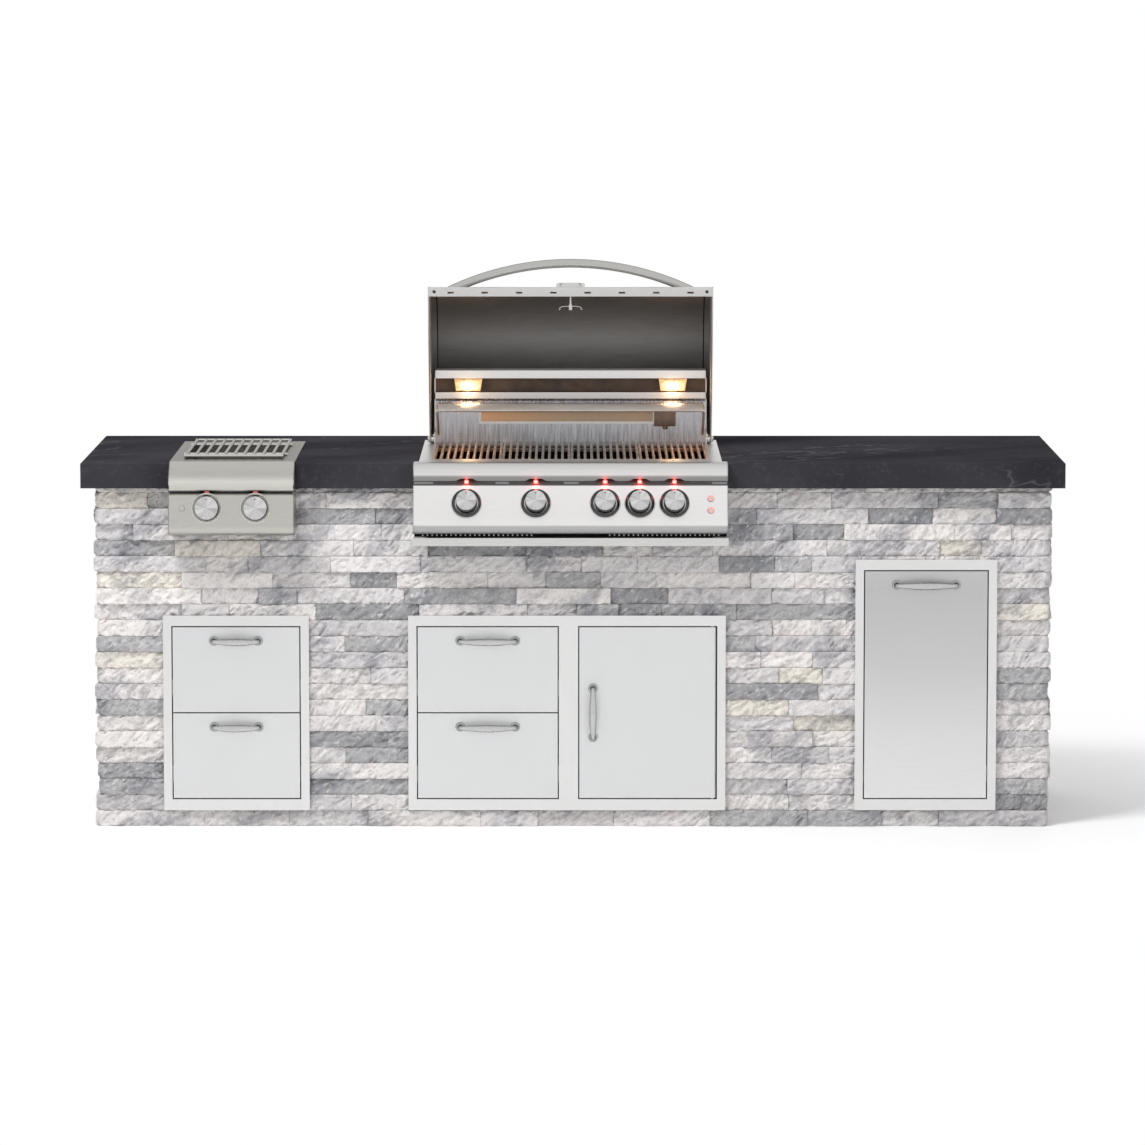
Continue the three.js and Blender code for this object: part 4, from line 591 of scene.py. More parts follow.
# %% One stone
DRAFT, RIM = 0.2, 1.4
EDGE_WEAR, WEAR_REACH = 1.6, 1.5
CORNER_ROUND, END_ROUND = 16, 10
LEAST_DEPTH, MOST_DEPTH = 6, 29.8
LEAN_ALONG, LEAN_UP = 5, 4


def stone_grid(x0, x1, z0, z1, depth, seed, ends, cell):
    """One stone's grid as (along the wall, out of the wall, up). ends says which ends turn a corner:
    there the face falls back along a circle, and the end's top and bottom are rounded."""
    columns, rows = max(3, round((x1 - x0) / cell)), max(4, round((z1 - z0) / (cell - 1)))
    x = np.concatenate([[x0 - DRAFT, x0], np.linspace(x0 + RIM, x1 - RIM, columns), [x1, x1 + DRAFT]])
    z = np.concatenate([[z0 - DRAFT, z0], np.linspace(z0 + RIM, z1 - RIM, rows), [z1, z1 + DRAFT]])
    z, x = np.meshgrid(z, x, indexing="ij")
    tilt = (LATTICE[[seed, seed + 1]] - 0.5) * [LEAN_ALONG, LEAN_UP]
    u, v = (x - x0) / (x1 - x0), (z - z0) / (z1 - z0)
    out = depth + (u - 0.5) * tilt[0] + (v - 0.5) * tilt[1] + cleft(x, z, seed)
    edge = np.minimum.reduce([x - x0, x1 - x, z - z0, z1 - z])
    out -= EDGE_WEAR * np.exp(-np.maximum(edge, 0) / WEAR_REACH)
    for end, inward in ((x0, 1), (x1, -1)):
        if end not in ends:
            continue
        away = np.clip(inward * (x - end), 0, CORNER_ROUND)
        out -= CORNER_ROUND - np.sqrt(CORNER_ROUND**2 - (CORNER_ROUND - away) ** 2)
        near = np.clip(END_ROUND - np.minimum(z - z0, z1 - z), 0, END_ROUND)
        x = x + inward * (END_ROUND - np.sqrt(END_ROUND**2 - near**2)) * np.clip(1 - away / 30, 0, 1)
    out = np.clip(out, LEAST_DEPTH, MOST_DEPTH)
    out[[0, -1], :] = 0
    out[:, [0, -1]] = 0
    return np.stack([x, out, z], -1)


def closed_behind(grid):
    """The grid's quads, and one flat face round the back, along the grid's outer ring."""
    points, faces = surface(grid)
    return points, faces + [outer_ring(grid)[::-1]]


# %% [markdown]
# A row is cut into spans by the openings that it meets, and each span into stones. Most stones are
# pale, a quarter are mid grey, a few are dark and a few are cream.

# %% Rows of stones
COURSE, WALL_TOP, BASE_HALF = 39.9, 882.3, 1193.0
JOINT, LEAST_LENGTH, LEAST_HEIGHT = 0.3, 12, 6
TONES = np.array([
    [0.770, 0.735, 0.720], [0.720, 0.690, 0.685], [0.670, 0.645, 0.650], [0.580, 0.562, 0.570],
    [0.430, 0.426, 0.436], [0.335, 0.336, 0.348], [0.780, 0.735, 0.665],
])
SHARES = np.array([0.22, 0.22, 0.18, 0.12, 0.13, 0.08, 0.05])


def spans(low, high, z0, z1, cuts):
    """What is left of a row from low to high once rectangles (x0, x1, z0, z1) are cut out of it."""
    left = [(low, high, z0, z1)]
    for c0, c1, d0, d1 in cuts:
        kept = []
        for a, b, s, t in left:
            if c1 <= a or c0 >= b or d1 <= s or d0 >= t:
                kept.append((a, b, s, t))
                continue
            c, d = max(a, c0), min(b, c1)
            kept += [(a, c0, s, t), (c1, b, s, t), (c, d, s, d0), (c, d, d1, t)]
        left = [(a, b, s, t) for a, b, s, t in kept if b - a > LEAST_LENGTH and t - s > LEAST_HEIGHT]
    return left


def lengths(total):
    """Random stone lengths that fill a span, none of them under 45 mm."""
    parts = []
    while total > 330:
        parts.append(rng.uniform(90, 285))
        total -= parts[-1]
    if total > 190 and rng.random() < 0.6:
        parts.append(total * rng.uniform(0.35, 0.65))
        total -= parts[-1]
    return parts + [total]


def ledger_wall(name, node_name, rows, low, high, place, cuts, cell, flip, corners):
    """The stones of some rows of a wall as one piece. place turns (along, out, up) into the
    fitter's axes."""
    grids, tones = [], []
    for row in rows:
        z0, z1 = row * COURSE, min((row + 1) * COURSE, WALL_TOP)
        a, b = (low + rng.uniform(0, 9), high - rng.uniform(0, 9)) if corners else (low, high)
        for s0, s1, t0, t1 in spans(a, b, z0, z1, cuts):
            x = s0
            for length in lengths(s1 - s0):
                x0, x1 = x + JOINT, x + length - JOINT
                ends = [e for e in (x0, x1) if corners and min(abs(e - a), abs(e - b)) < 1]
                seed = int(rng.integers(60000))
                depth = rng.uniform(16, 28)
                grids.append(stone_grid(x0, x1, t0 + JOINT, t1 - JOINT, depth, seed, ends, cell))
                tone = TONES[rng.choice(len(TONES), p=SHARES / sum(SHARES))]
                tones.append(tone * rng.uniform(0.94, 1.05))
                x += length
    points, faces = together(*[closed_behind(grid) for grid in grids])
    counts = [grid.shape[0] * grid.shape[1] for grid in grids]
    tints = np.column_stack([np.array(tones), rng.random(len(grids))]).repeat(counts, axis=0)
    faces = [face[::-1] for face in faces] if flip else faces
    print(name, len(grids), "stones")
    make_piece(name, [((place(points), faces), ledger)], "root", [node_name],
               sharp=34, turn=False, values=tints)


# %% [markdown]
# The stone's finish takes its tone from the stone's own tint. Clouds and slanting streaks move it
# between pale and blue grey, grains speckle it, and a fine bump breaks up the light.

# %% Stone finish
ledger = finish("ledger stone", (0.6, 0.58, 0.57), 0.9, specular=0.25)
tint = node(ledger.node_tree, "Attribute", attribute_name="value").outputs["Color"]
clouds = noise(ledger, 8.0, detail=7.0, turn=(0, -0.6, 0), stretch=(0.8, 1, 1.4), rough=0.68)
streaks = noise(ledger, 75.0, detail=5.0, turn=(0, -0.7, 0), stretch=(0.75, 1, 1.4), rough=0.72)
grains = noise(ledger, 300.0, detail=3.0, rough=0.7)
cooler = blend(1.0, tint, (0.64, 0.655, 0.69), "MULTIPLY")
tone = blend(remap(clouds, 0.50, 0.60), tint, cooler)
tone = blend(remap(streaks, 0.54, 0.66, 0, 0.45), tone, (0.93, 0.90, 0.87))
tone = blend(remap(streaks, 0.34, 0.46, 0.42, 0), tone, (0.27, 0.27, 0.285))
tone = blend(remap(grains, 0.56, 0.68, 0, 0.40), tone, (0.25, 0.25, 0.26))
drive(ledger, "Base Color", tone)
drive(ledger, "Roughness", spread(grains, 0.82, 0.96))
bump(ledger, grains, 0.0018, 1.0, bump(ledger, streaks, 0.004, 1.0))
print(ledger.name, "of", len(ledger.node_tree.nodes), "shader nodes")

# %% The four walls
BACKER_FRONT, BACKER_REAR, BACKER_SIDE = 56.0, 706.0, 1163.2
CUTS = [
    (-1004.5, -671.5, 64, 511), (-395, 365, 64, 511), (717, 1039, 64, 651),
    (-360, 348, 705.4, 1000), (-973, -713, 786.4, 1000),
]
ROWS = range(math.ceil(WALL_TOP / COURSE))
for part, rows in (("low", ROWS[:7]), ("middle", ROWS[7:14]), ("high", ROWS[14:])):
    ledger_wall("ledger_front_" + part, "stone_front", rows, -BASE_HALF, BASE_HALF,
                lambda p: p * [1, -1, 1] + [0, BACKER_FRONT, 0], CUTS, 4, False, True)
ledger_wall("ledger_back", "stone_back", ROWS, -BASE_HALF, BASE_HALF,
            lambda p: p + [0, BACKER_REAR, 0], [], 9, True, True)
for side, name in ((-1, "left"), (1, "right")):
    ledger_wall("ledger_" + name, "stone_" + name, ROWS, BACKER_FRONT + 1, BACKER_REAR - 1,
                lambda p: np.column_stack([side * (BACKER_SIDE + p[:, 1]), p[:, 0], p[:, 2]]),
                [], 8, side < 0, False)

# %% [markdown]
# ## Worktop, boards and storage fronts
#
# The slab, the housings, the drawers, the door and the bin are right as solids, so they keep their
# shape and get a finish. The slab is leathered stone, near black, with a few pale veins. A vein
# runs where one noise is close to a half, and a second noise hides most of them.

# %% Worktop and hidden frame
slab = finish("leathered stone", (0.035, 0.034, 0.04), 0.75, specular=0.0)
grain = noise(slab, 90.0, detail=5.0)
drift = noise(slab, 3.0, detail=3.0, stretch=(0.7, 1.6, 1.6), turn=(0, 0.3, 0.5))
vein = noise(slab, 1.1, detail=5.0, stretch=(0.5, 1.6, 2.2), turn=(0.2, -0.3, 0.5), rough=0.6)
patch = noise(slab, 2.4, detail=2.0, stretch=(0.5, 1.4, 1.4), turn=(0.1, 0.2, 0.6))
tone = blend(remap(drift, 0.35, 0.65), (0.026, 0.025, 0.030), (0.042, 0.041, 0.047))
tone = blend(remap(grain, 0.55, 0.75, 0, 0.4), tone, (0.07, 0.069, 0.076))
near, past = remap(vein, 0.494, 0.5), remap(vein, 0.5, 0.508, 1, 0)
line = node(slab.node_tree, "Math", {0: near, 1: past}, operation="MULTIPLY").outputs[0]
shown_vein = blend(remap(patch, 0.50, 0.60), (0.0, 0.0, 0.0), line)
tone = blend(remap(shown_vein, 0, 1, 0, 0.26), tone, (0.2, 0.2, 0.21))
drive(slab, "Base Color", tone)
drive(slab, "Roughness", spread(grain, 0.66, 0.84))
bump(slab, grain, 0.0005, 0.6, bump(slab, drift, 0.002, 0.3))

board = finish("cement board", (0.42, 0.42, 0.4), 0.95)
mottle = spread(noise(board, 70))
drive(board, "Base Color", blend(mottle, (0.36, 0.36, 0.34), (0.47, 0.47, 0.45)))
zinc = finish("galvanised tube", (0.45, 0.46, 0.47), 0.5, metallic=0.8)
spangle = remap(noise(zinc, 45), 0.4, 0.6)
drive(zinc, "Base Color", blend(spangle, (0.38, 0.39, 0.4), (0.52, 0.53, 0.54)))
black_plastic = uneven("moulded black plastic", (0.022, 0.022, 0.023), 0.55, 300, 0.45, 0.65)
bump(black_plastic, noise(black_plastic, 700), 0.0002, 0.4)


def refinish(material, *names):
    """Give the frame's own solids a finish."""
    for name in names:
        nodes[name].data.materials.clear()
        nodes[name].data.materials.append(material)
    print(material.name, "on", *names)


refinish(slab, "countertop")
refinish(board, "backer_board")
refinish(zinc, "steel_frame")
refinish(black_plastic, "trash_bin")
refinish(flange_steel, "left_unit_housing", "combo_unit_housing", "trash_unit_housing")
refinish(front_steel, "left_drawer_upper", "left_drawer_lower", "combo_drawer_upper",
         "combo_drawer_lower", "cabinet_door")
bin_front_steel = brushed("bin front steel", (0.71, 0.715, 0.71), 0.36, ALONG_X, 0.03)
# Painted shading by height: the bin front is darker towards its top.
painted_shading_by_height(bin_front_steel, [(0.09, 1.06), (0.22, 1.0), (0.40, 0.84), (0.60, 0.74), (0.64, 0.78)])
refinish(bin_front_steel, "trash_drawer")

# %% [markdown]
# A bow handle is a bar along a shallow arc, thicker in its middle. The arc is a circle through the
# two posts and the top of the bow: R = (c²/4 + h²) / 2h for a chord c and a rise h.

# %% Bow handles
FACE = 20.7
POST_INSET = 24
POST_PROFILE = [
    (0, 0.4), (11.2, 0.4), (12, 1.4), (11.6, 3.2), (10, 4), (7.4, 4.6), (6, 6.6), (5.5, 9), (5.5, 22),
    (4.6, 24.6), (2.6, 25.4), (0, 25.5),
]


def bow_line(chord, foot, rise, steps=41):
    """Points (along, out) of the arc over the chord, foot above the face at its ends."""
    radius = ((chord / 2) ** 2 + rise**2) / (2 * rise)
    a = np.linspace(-1, 1, steps) * math.asin(chord / 2 / radius)
    return np.column_stack([radius * np.sin(a), foot + rise - radius * (1 - np.cos(a))])


def bow_handle(name, body, x, z, length, upright=False):
    """The bar and its two posts with their rosettes, in front of the storage fronts' face."""
    chord = length - POST_INSET
    line = bow_line(chord, 20, 12)
    swell = 4.8 + 4.4 * np.cos(np.linspace(-1, 1, len(line)) * math.pi / 2)
    path = np.column_stack([line[:, 0], -line[:, 1], np.zeros(len(line))])
    shapes = [(tube(path, swell, 14), satin)]
    for end in (-1, 1):
        place = np.array([[end * chord / 2, 0, 0], [1, 0, 0], [0, 0, 1], [0, -1, 0]], float)
        shapes.append((turned(POST_PROFILE, place, 28), painted_shade_post_steel))
    order, sign = ([2, 1, 0], [-1, 1, 1]) if upright else ([0, 1, 2], [1, 1, 1])
    make_piece(name + "_bow", [((points[:, order] * sign + [x, FACE, z], faces), metal)
                               for (points, faces), metal in shapes], body, [name])


for body, x, z, length in (
    ("left_drawer_upper", -838, 468, 134), ("left_drawer_lower", -838, 252, 134),
    ("combo_drawer_upper", -212, 468, 161), ("combo_drawer_lower", -212, 252, 161),
    ("trash_drawer", 878, 608, 171),
):
    bow_handle(body + "_handle", body, x, z, length)
bow_handle("cabinet_door_handle", "cabinet_door", 50, 287.5, 147, upright=True)

# %% [markdown]
# ## Grill front
#
# The control panel is one sheet: the deck's edge rolls over a bullnose, folds into a groove and
# leans out again as the face, and a wide bend closes it below. Its holes are cut by booleans, so
# that the stems and the buttons pass through it.

# %% Places on a leaning front
GRILL_X = -6.0
DECK_TOP, NOTCH_FLOOR, SHEET = 917.7, 850.6, 2.0
PANEL_LOW, PANEL_HIGH, PANEL_BOTTOM, LEAN = -394.5, 382.5, 743.98, 20.0
KNOBS = [-262.5, -91.5, 79.5, 165.0, 250.5]
BUTTONS, BUTTON_X = [("light_button_upper", 0.35), ("light_button_lower", 0.64)], 340.0


def leaning(x, y, z, tilt):
    """A place on a front that leans back: along the island, up the face and straight out of it."""
    s, c = math.sin(math.radians(tilt)), math.cos(math.radians(tilt))
    return np.array([[x, y, z], [1, 0, 0], [0, s, c], [0, -c, s]])


def on_panel(share):
    """A point (y, z) that far down the panel's leaning face."""
    return -42 - 35.3 * share, 865 - 97 * share


def drill(x, y, z, tilt, radius):
    """A cylinder through a leaning front."""
    return pin(radius, -42, 42, leaning(x, y, z, tilt), 32)


def panel_ends(line, low, high, bottom):
    """The two cheeks of a panel: its outline, carried back to the stone under the worktop."""
    outline = [*line, (25.7, bottom), (25.7, NOTCH_FLOOR), (-0.3, NOTCH_FLOOR)]
    return together(prism(outline, low, low + SHEET), prism(outline, high - SHEET, high))


# %% Panel sheet
top_roll = [(-0.3, DECK_TOP), *arc(-25, 897.7, 20, 90, 180, 14), (-45, 880)]
groove = [(-45, 873.6), (-38, 871), (-38, 865), (-42, 862)]
lower_bend = [(-43.5, 858), *arc(-60.48, 761.88, 17.9, 160, 270, 16), (4.7, PANEL_BOTTOM)]
groove_line = softened([top_roll[-1], *groove, lower_bend[0]], 1.4, 4)
panel_line = np.array([*top_roll, *groove_line[1:], *lower_bend[1:]])
panel_inside = offset([*top_roll, *groove, *lower_bend], SHEET)[::-1]
knob_y, knob_z = on_panel(0.47)
holes = [drill(x, knob_y, knob_z, LEAN, 7) for x in KNOBS]
holes += [drill(BUTTON_X, *on_panel(share), LEAN, 8.5) for _, share in BUTTONS]
boat_sides = [(i, 4 + i, 4 + (i + 1) % 4, (i + 1) % 4) for i in range(4)]
for x in KNOBS:
    boat = [(x - 26, 873.9), (x + 26, 873.9), (x + 15, 879.4), (x - 15, 879.4)]
    holes.append((np.array([(px, y, pz) for y in (-50, -40) for px, pz in boat]),
                  [(0, 1, 2, 3), (7, 6, 5, 4), *boat_sides]))
skin = drilled(prism([*panel_line, *panel_inside], PANEL_LOW, PANEL_HIGH), *holes)
print("panel sheet", len(skin[1]), "faces after", len(holes), "cuts")

# %% [markdown]
# The sheet's colour is set by height, painted reflections and shade, because each fold mirrors another
# part of the studio. Black boxes stand for the dark slots in the groove and the dark behind the openings
# over the knobs, painted shade, and a bezel stands round each knob.

# %% Panel, bezels and slots
panel_steel = brushed("panel steel", (0.69, 0.685, 0.68), 0.32, ALONG_X, 0.03)
# Painted reflections and shade by height: dark on the lower bend and in the groove, bright on the face
# and the bullnose.
painted_shading_by_height(panel_steel, [
    (0.744, 0.42), (0.752, 0.55), (0.764, 0.72), (0.768, 1.20), (0.79, 1.18), (0.861, 1.20),
    (0.863, 0.34), (0.874, 0.38), (0.884, 0.46), (0.889, 1.06), (0.901, 1.0), (0.912, 0.86),
    (0.918, 0.66),
])


def bezel(x, y, z, tilt, inner, outer):
    """A dark ring that rises towards the knob, and the bright rim round it."""
    place, width, seam = leaning(x, y, z, tilt), outer - inner, outer - 2.2
    rim = [(seam, 0.1), (outer, 0.1), (outer, 1.6), (outer - 0.7, 2.7), (seam, 2.9)]
    slope = [(inner, 0.1), (seam, 0.1), (seam, 1.8), (inner + 0.55 * width, 4.4),
             (inner + 0.3 * width, 6.6), (inner + 1, 7), (inner, 6.4)]
    return [(turned(profile, place, 48, ring=True), metal)
            for profile, metal in ((rim, polished), (slope, dark_chrome))]


cheeks = panel_ends(panel_line, PANEL_LOW, PANEL_HIGH, PANEL_BOTTOM)
front_shapes = [(skin, panel_steel), (cheeks, panel_steel)]
for x in KNOBS:
    front_shapes += bezel(x, knob_y, knob_z, LEAN, 29, 38.5)
# Black boxes in the groove and behind the openings over the knobs: painted shade.
for low, high in ((-345, -191), (-158, -22), (14, 343)):
    front_shapes.append((box(low, high, -38.5, -37.4, 866.4, 869.4), black_and_painted_shade))
front_shapes += [(box(x - 28, x + 28, -42.6, -41.9, 873.2, 880), black_and_painted_shade) for x in KNOBS]
make_piece("grill_front", front_shapes, "root", ["control_panel"])

# %% [markdown]
# Below the panel a black strip with rows of round holes lets air into the firebox; its black is painted
# shade. The bright strip behind it glows a little, painted light that stands for the light falling on
# it.

# %% Vent strip
dots = [pin(1.9, -3, 3, leaning(x, -45, 739.4, 0), 12)
        for x in [*np.arange(-371, -100, 11.7), *np.arange(91, 366, 11.7)]]
# Painted light: the strip behind the holes glows though it is no lamp.
glow = finish("light behind the holes", (0.8, 0.8, 0.8), 0.5)
principled(glow)["Emission Color"].default_value = (1, 1, 1, 1)
principled(glow)["Emission Strength"].default_value = 0.2
drive(glow, "Base Color", blend(noise(glow, 30), (0.7, 0.7, 0.7), (0.85, 0.85, 0.85)))
# The black strip is painted shade, and the strip behind it glows, painted light.
make_piece("vent_strip", [
    (drilled(box(-392, 380, -45.6, -44.6, 735, 743.6), *dots), black_and_painted_shade),
    (box(-391, 379, -43.4, -42.8, 735.4, 743.4), glow),
], "root")

# %% [markdown]
# A knob has a dark glossy barrel and a bright cap that was turned on a lathe. Its fine rings throw
# light in fans, and these are painted into the cap's colour: its tone depends on the angle round the
# axis, a painted highlight. Each point carries its own place on the knob for that.

# %% Knobs
cap_metal = finish("turned cap", (0.8, 0.8, 0.8), 0.25, metallic=1.0)
tree = cap_metal.node_tree
spot = node(tree, "Attribute", attribute_name="value").outputs["Vector"]
split = node(tree, "SeparateXYZ", {0: spot}).outputs
angle = node(tree, "Math", {0: split[1], 1: split[0]}, operation="ARCTAN2").outputs[0]
fan = node(tree, "TexNoise", {"Scale": 1.3, "W": angle}, noise_dimensions="1D").outputs["Fac"]
# Painted highlight: the fans of light from the lathe rings are painted into the cap's colour.
painted_fan_highlight = blend(remap(fan, 0.35, 0.65), (0.46, 0.46, 0.46), (0.70, 0.70, 0.70))
drive(cap_metal, "Base Color", painted_fan_highlight)
drive(cap_metal, "Roughness", remap(fan, 0.35, 0.65, 0.22, 0.36))
barrel_black = uneven("knob barrel", (0.03, 0.03, 0.031), 0.18, 80, 0.14, 0.26, metallic=0.6)


def knob(name, x, y, z, tilt, radius, length):
    """A flared barrel with a bore for its stem, a cap with a soft edge, and a mark near its top."""
    foot, seam, top = radius + 1.5, length - 8, length - 0.4
    face = top - 0.7
    barrel = turned([
        (0, seam - 2), (4.5, seam - 2), (4.5, 4), (foot - 1.4, 4), (foot, 5.2), (foot - 0.2, 7),
        (radius + 0.2, seam - 1.2), (radius - 0.6, seam), (0, seam),
    ], AT_ORIGIN, 48)
    cap = turned([
        (0, seam), (radius - 0.4, seam), (radius + 0.1, seam + 0.8), (radius, top - 2.2),
        (radius - 0.7, face), (radius - 2.2, top), (radius - 4, top), (radius - 4.8, face), (0, face),
    ], AT_ORIGIN, 48)
    mark = pin(1.5, top - 0.8, top - 0.3, np.array([[0, radius - 7.5, 0], *AT_ORIGIN[1:]]), 12)
    place = leaning(x, y, z, tilt)
    shapes = [(placed(shape, place), material)
              for shape, material in ((barrel, barrel_black), (cap, cap_metal), (mark, black_and_painted_shade))]
    local = np.concatenate([barrel[0], cap[0], mark[0]])
    make_piece(name + "_turned", shapes, name, [name], values=with_alpha(local))


for number, x in enumerate(KNOBS, 1):
    knob(f"grill_knob_{number}", x, knob_y, knob_z, LEAN, 25, 38)

# %% [markdown]
# A red light burns in the groove above each knob, and each light button has a red ring.

# %% Red lights
RED = (1.0, 0.05, 0.04)


def lit(name, colour, strength, base=(0.5, 0.1, 0.1)):
    """A glowing finish whose strength drifts a little."""
    material = finish(name, base, 0.3)
    principled(material)["Emission Color"].default_value = (*colour, 1)
    drift = spread(noise(material, 120), 0.8 * strength, 1.2 * strength)
    drive(material, "Emission Strength", drift)
    return material


def glow_lamp(name, x, y, z, colour, power, radius):
    """A small round lamp of the object's own, so that its glow falls on the metal near it."""
    data = bpy.data.lights.new(name, "POINT")
    data.color, data.energy, data.shadow_soft_size = colour, power, radius
    bulb = bpy.data.objects.new(name, data)
    bulb.location = Vector((x, y, z)) * MM + Vector((0, FRONT, 0))
    scene.collection.objects.link(bulb)


red_core = lit("red light core", (1.0, 0.36, 0.32), 3.5)
red_glow = lit("red light", RED, 7)
lights = []
for number, x in enumerate(KNOBS):
    place = leaning(x, -42.4, 871.4, 0)
    lights += [(turned([(0, 0), (5.8, 0), (5, 2.2), (3.2, 3.4), (0, 3.8)], place, 20), red_glow),
               (turned([(0, 3), (2.6, 3), (2, 4.4), (0, 4.8)], place, 16), red_core)]
    glow_lamp(f"knob glow {number}", x, -58, 871, (1, 0.10, 0.08), 0.05, 0.006)
make_piece("knob_lights", lights, "root")

# %% Light buttons, stems and drip tray
button_red = lit("red ring", RED, 1.6)
for name, share in BUTTONS:
    place = leaning(BUTTON_X, *on_panel(share), LEAN)
    body = turned([(0, -6), (8, -6), (8, 2.6), (7.2, 3.7), (6.6, 3.9), (0, 3.9)], place, 32)
    ring = turned([(4.9, 3.6), (6.5, 3.6), (6.4, 4), (5, 4)], place, 32, ring=True)
    make_piece(name + "_lit", [(body, polished), (ring, button_red)], name, [name])
refinish(grill_steel, "drip_tray")
brass = tinted("valve brass", (0.62, 0.45, 0.2), (0.5, 0.33, 0.14), 0.35, 30)
refinish(brass, *[n for n in nodes if "_stem_" in n])

# %% [markdown]
# ## Hood
#
# The hood is drawn shut, about its side pins, and rolled open by a turn of -72° about X. Its line
# starts at the lip, goes up the leaning face, over the nose and the roof, and down round the pins.

# %% Lines of the hood
HOOD_HALF, HOOD_OPEN, HOOD_LEAN = 361.0, 72.0, 22.0
HINGE_Y, HINGE_Z = 490, 930
LIP_Y, LIP_Z = -422, -10


def rolled(shape):
    """A shape drawn about the pins in the closed hood, rolled open: y cos 72° + z sin 72°,
    z cos 72° - y sin 72°."""
    points, faces = shape
    c, s = math.cos(math.radians(HOOD_OPEN)), math.sin(math.radians(HOOD_OPEN))
    x, y, z = np.asarray(points).T
    return np.column_stack([x + GRILL_X, y * c + z * s + HINGE_Y, z * c - y * s + HINGE_Z]), faces


def on_hood(distance):
    """A place (y, z) that far up the hood's leaning face."""
    t = math.radians(HOOD_LEAN)
    return distance * math.sin(t) + LIP_Y, distance * math.cos(t) + LIP_Z


nose, roof = arc(-196.9, 17.7, 198.33, 158, 90, 24), arc(0, 0, 216.02, 90, 70, 8)
shell_line = np.array([(LIP_Y, LIP_Z), *nose, *roof])
lip_line = softened([(-396, LIP_Z), (LIP_Y, LIP_Z), on_hood(40)], 7, 6)
skin_line = np.array([(-396, LIP_Z), *lip_line[1:], *shell_line[1:]])
side_outline = [*shell_line, *arc(0, 0, 10, 70, -90, 10)]
print("hood line of", len(skin_line), "points, cheek of", len(side_outline))

# %% [markdown]
# The hood is an outer and an inner skin with a cheek of each at both sides. Slots are cut through
# the lip, one hole lets the thermometer's stem through, and each cheek has a hole for its pin.

# %% Hood shell
dial_y, dial_z = on_hood(72)
slot_places = (np.arange(8) - 3.5) * (2 * (HOOD_HALF - 57.5)) / 7
slots = [box(x - 8, x + 8, -409, -404, -12, -5) for x in slot_places]
dial_hole = pin(3.5, -20, 20, leaning(0, dial_y, dial_z, HOOD_LEAN), 16)
pin_hole = pin(5.5, -380, 380, np.array([[0, 0, 0], [0, 1, 0], [0, 0, 1], [1, 0, 0]]), 16)
skins = (bent_sheet(skin_line, -2), grill_steel), (bent_sheet(skin_line, -4, -2.02), inner_steel)
hood_shapes = [(rolled(drilled(prism(skin, -HOOD_HALF, HOOD_HALF), *slots, dial_hole)), metal)
               for skin, metal in skins]
for side in (-1, 1):
    a, b, c = (side * reach for reach in (HOOD_HALF, HOOD_HALF - 2, HOOD_HALF - 4))
    for ends, metal in (((a, b), grill_steel), ((b, c), inner_steel)):
        hood_shapes.append((rolled(drilled(prism(side_outline, *sorted(ends)), pin_hole)), metal))
    # A thin black strip along each seam inside the hood: painted shade.
    seam = side * (HOOD_HALF - 18)
    seam_line = bent_sheet(shell_line[1:], -4.8, -3.9)
    hood_shapes.append((rolled(prism(seam_line, seam - 1.3, seam + 1.3)), black_and_painted_shade))
    screw_place = np.array([[side * 345, -409, -10], [1, 0, 0], [0, 1, 0], [0, 0, -1]])
    screw = turned([(0, 0.1), (4.6, 0.1), (4.2, 1), (3, 1.4), (0, 1.4)], screw_place, 16)
    hood_shapes.append((rolled(screw), dark_chrome))
lip_face = drilled(box(-HOOD_HALF, HOOD_HALF, -420.5, -396.2, -10.5, -9.9), *slots)
hood_shapes.append((rolled(lip_face), flange_steel))
make_piece("hood_shell", hood_shapes, "hood", ["hood"], sharp=26)

# %% [markdown]
# The handle is one tube bowed over the whole width on two feet.

# %% Hood handle
handle_metal = uneven("hood handle", (0.48, 0.475, 0.46), 0.2, 40, 0.16, 0.26, metallic=1.0, edge=0.12)
grip_y, grip_z = on_hood(35)
grip_place = leaning(0, grip_y, grip_z, HOOD_LEAN)
bow = bow_line(2 * (HOOD_HALF - 48), -12, 72, 61)
bar = tube(np.column_stack([bow[:, 0], np.zeros(len(bow)), bow[:, 1]]), np.full(len(bow), 11.0), 28)
bar = drilled(bar, box(-400, 400, -30, 30, -60, 0.3))
handle_shapes = [(rolled(placed(bar, grip_place)), handle_metal)]
for end in (-1, 1):
    foot_place = np.array([[end * 287.5, 0, 0], *AT_ORIGIN[1:]])
    foot = turned([(0, 0.3), (12.5, 0.3), (12.5, 1.4), (11.5, 2.6), (0, 2.6)], foot_place, 28)
    handle_shapes.append((rolled(placed(foot, grip_place)), handle_metal))
make_piece("hood_handle_bow", handle_shapes, "hood", ["hood_handle"])

# %% [markdown]
# The thermometer's dial sits on the face, and its stem comes through the hood to a wing nut inside.

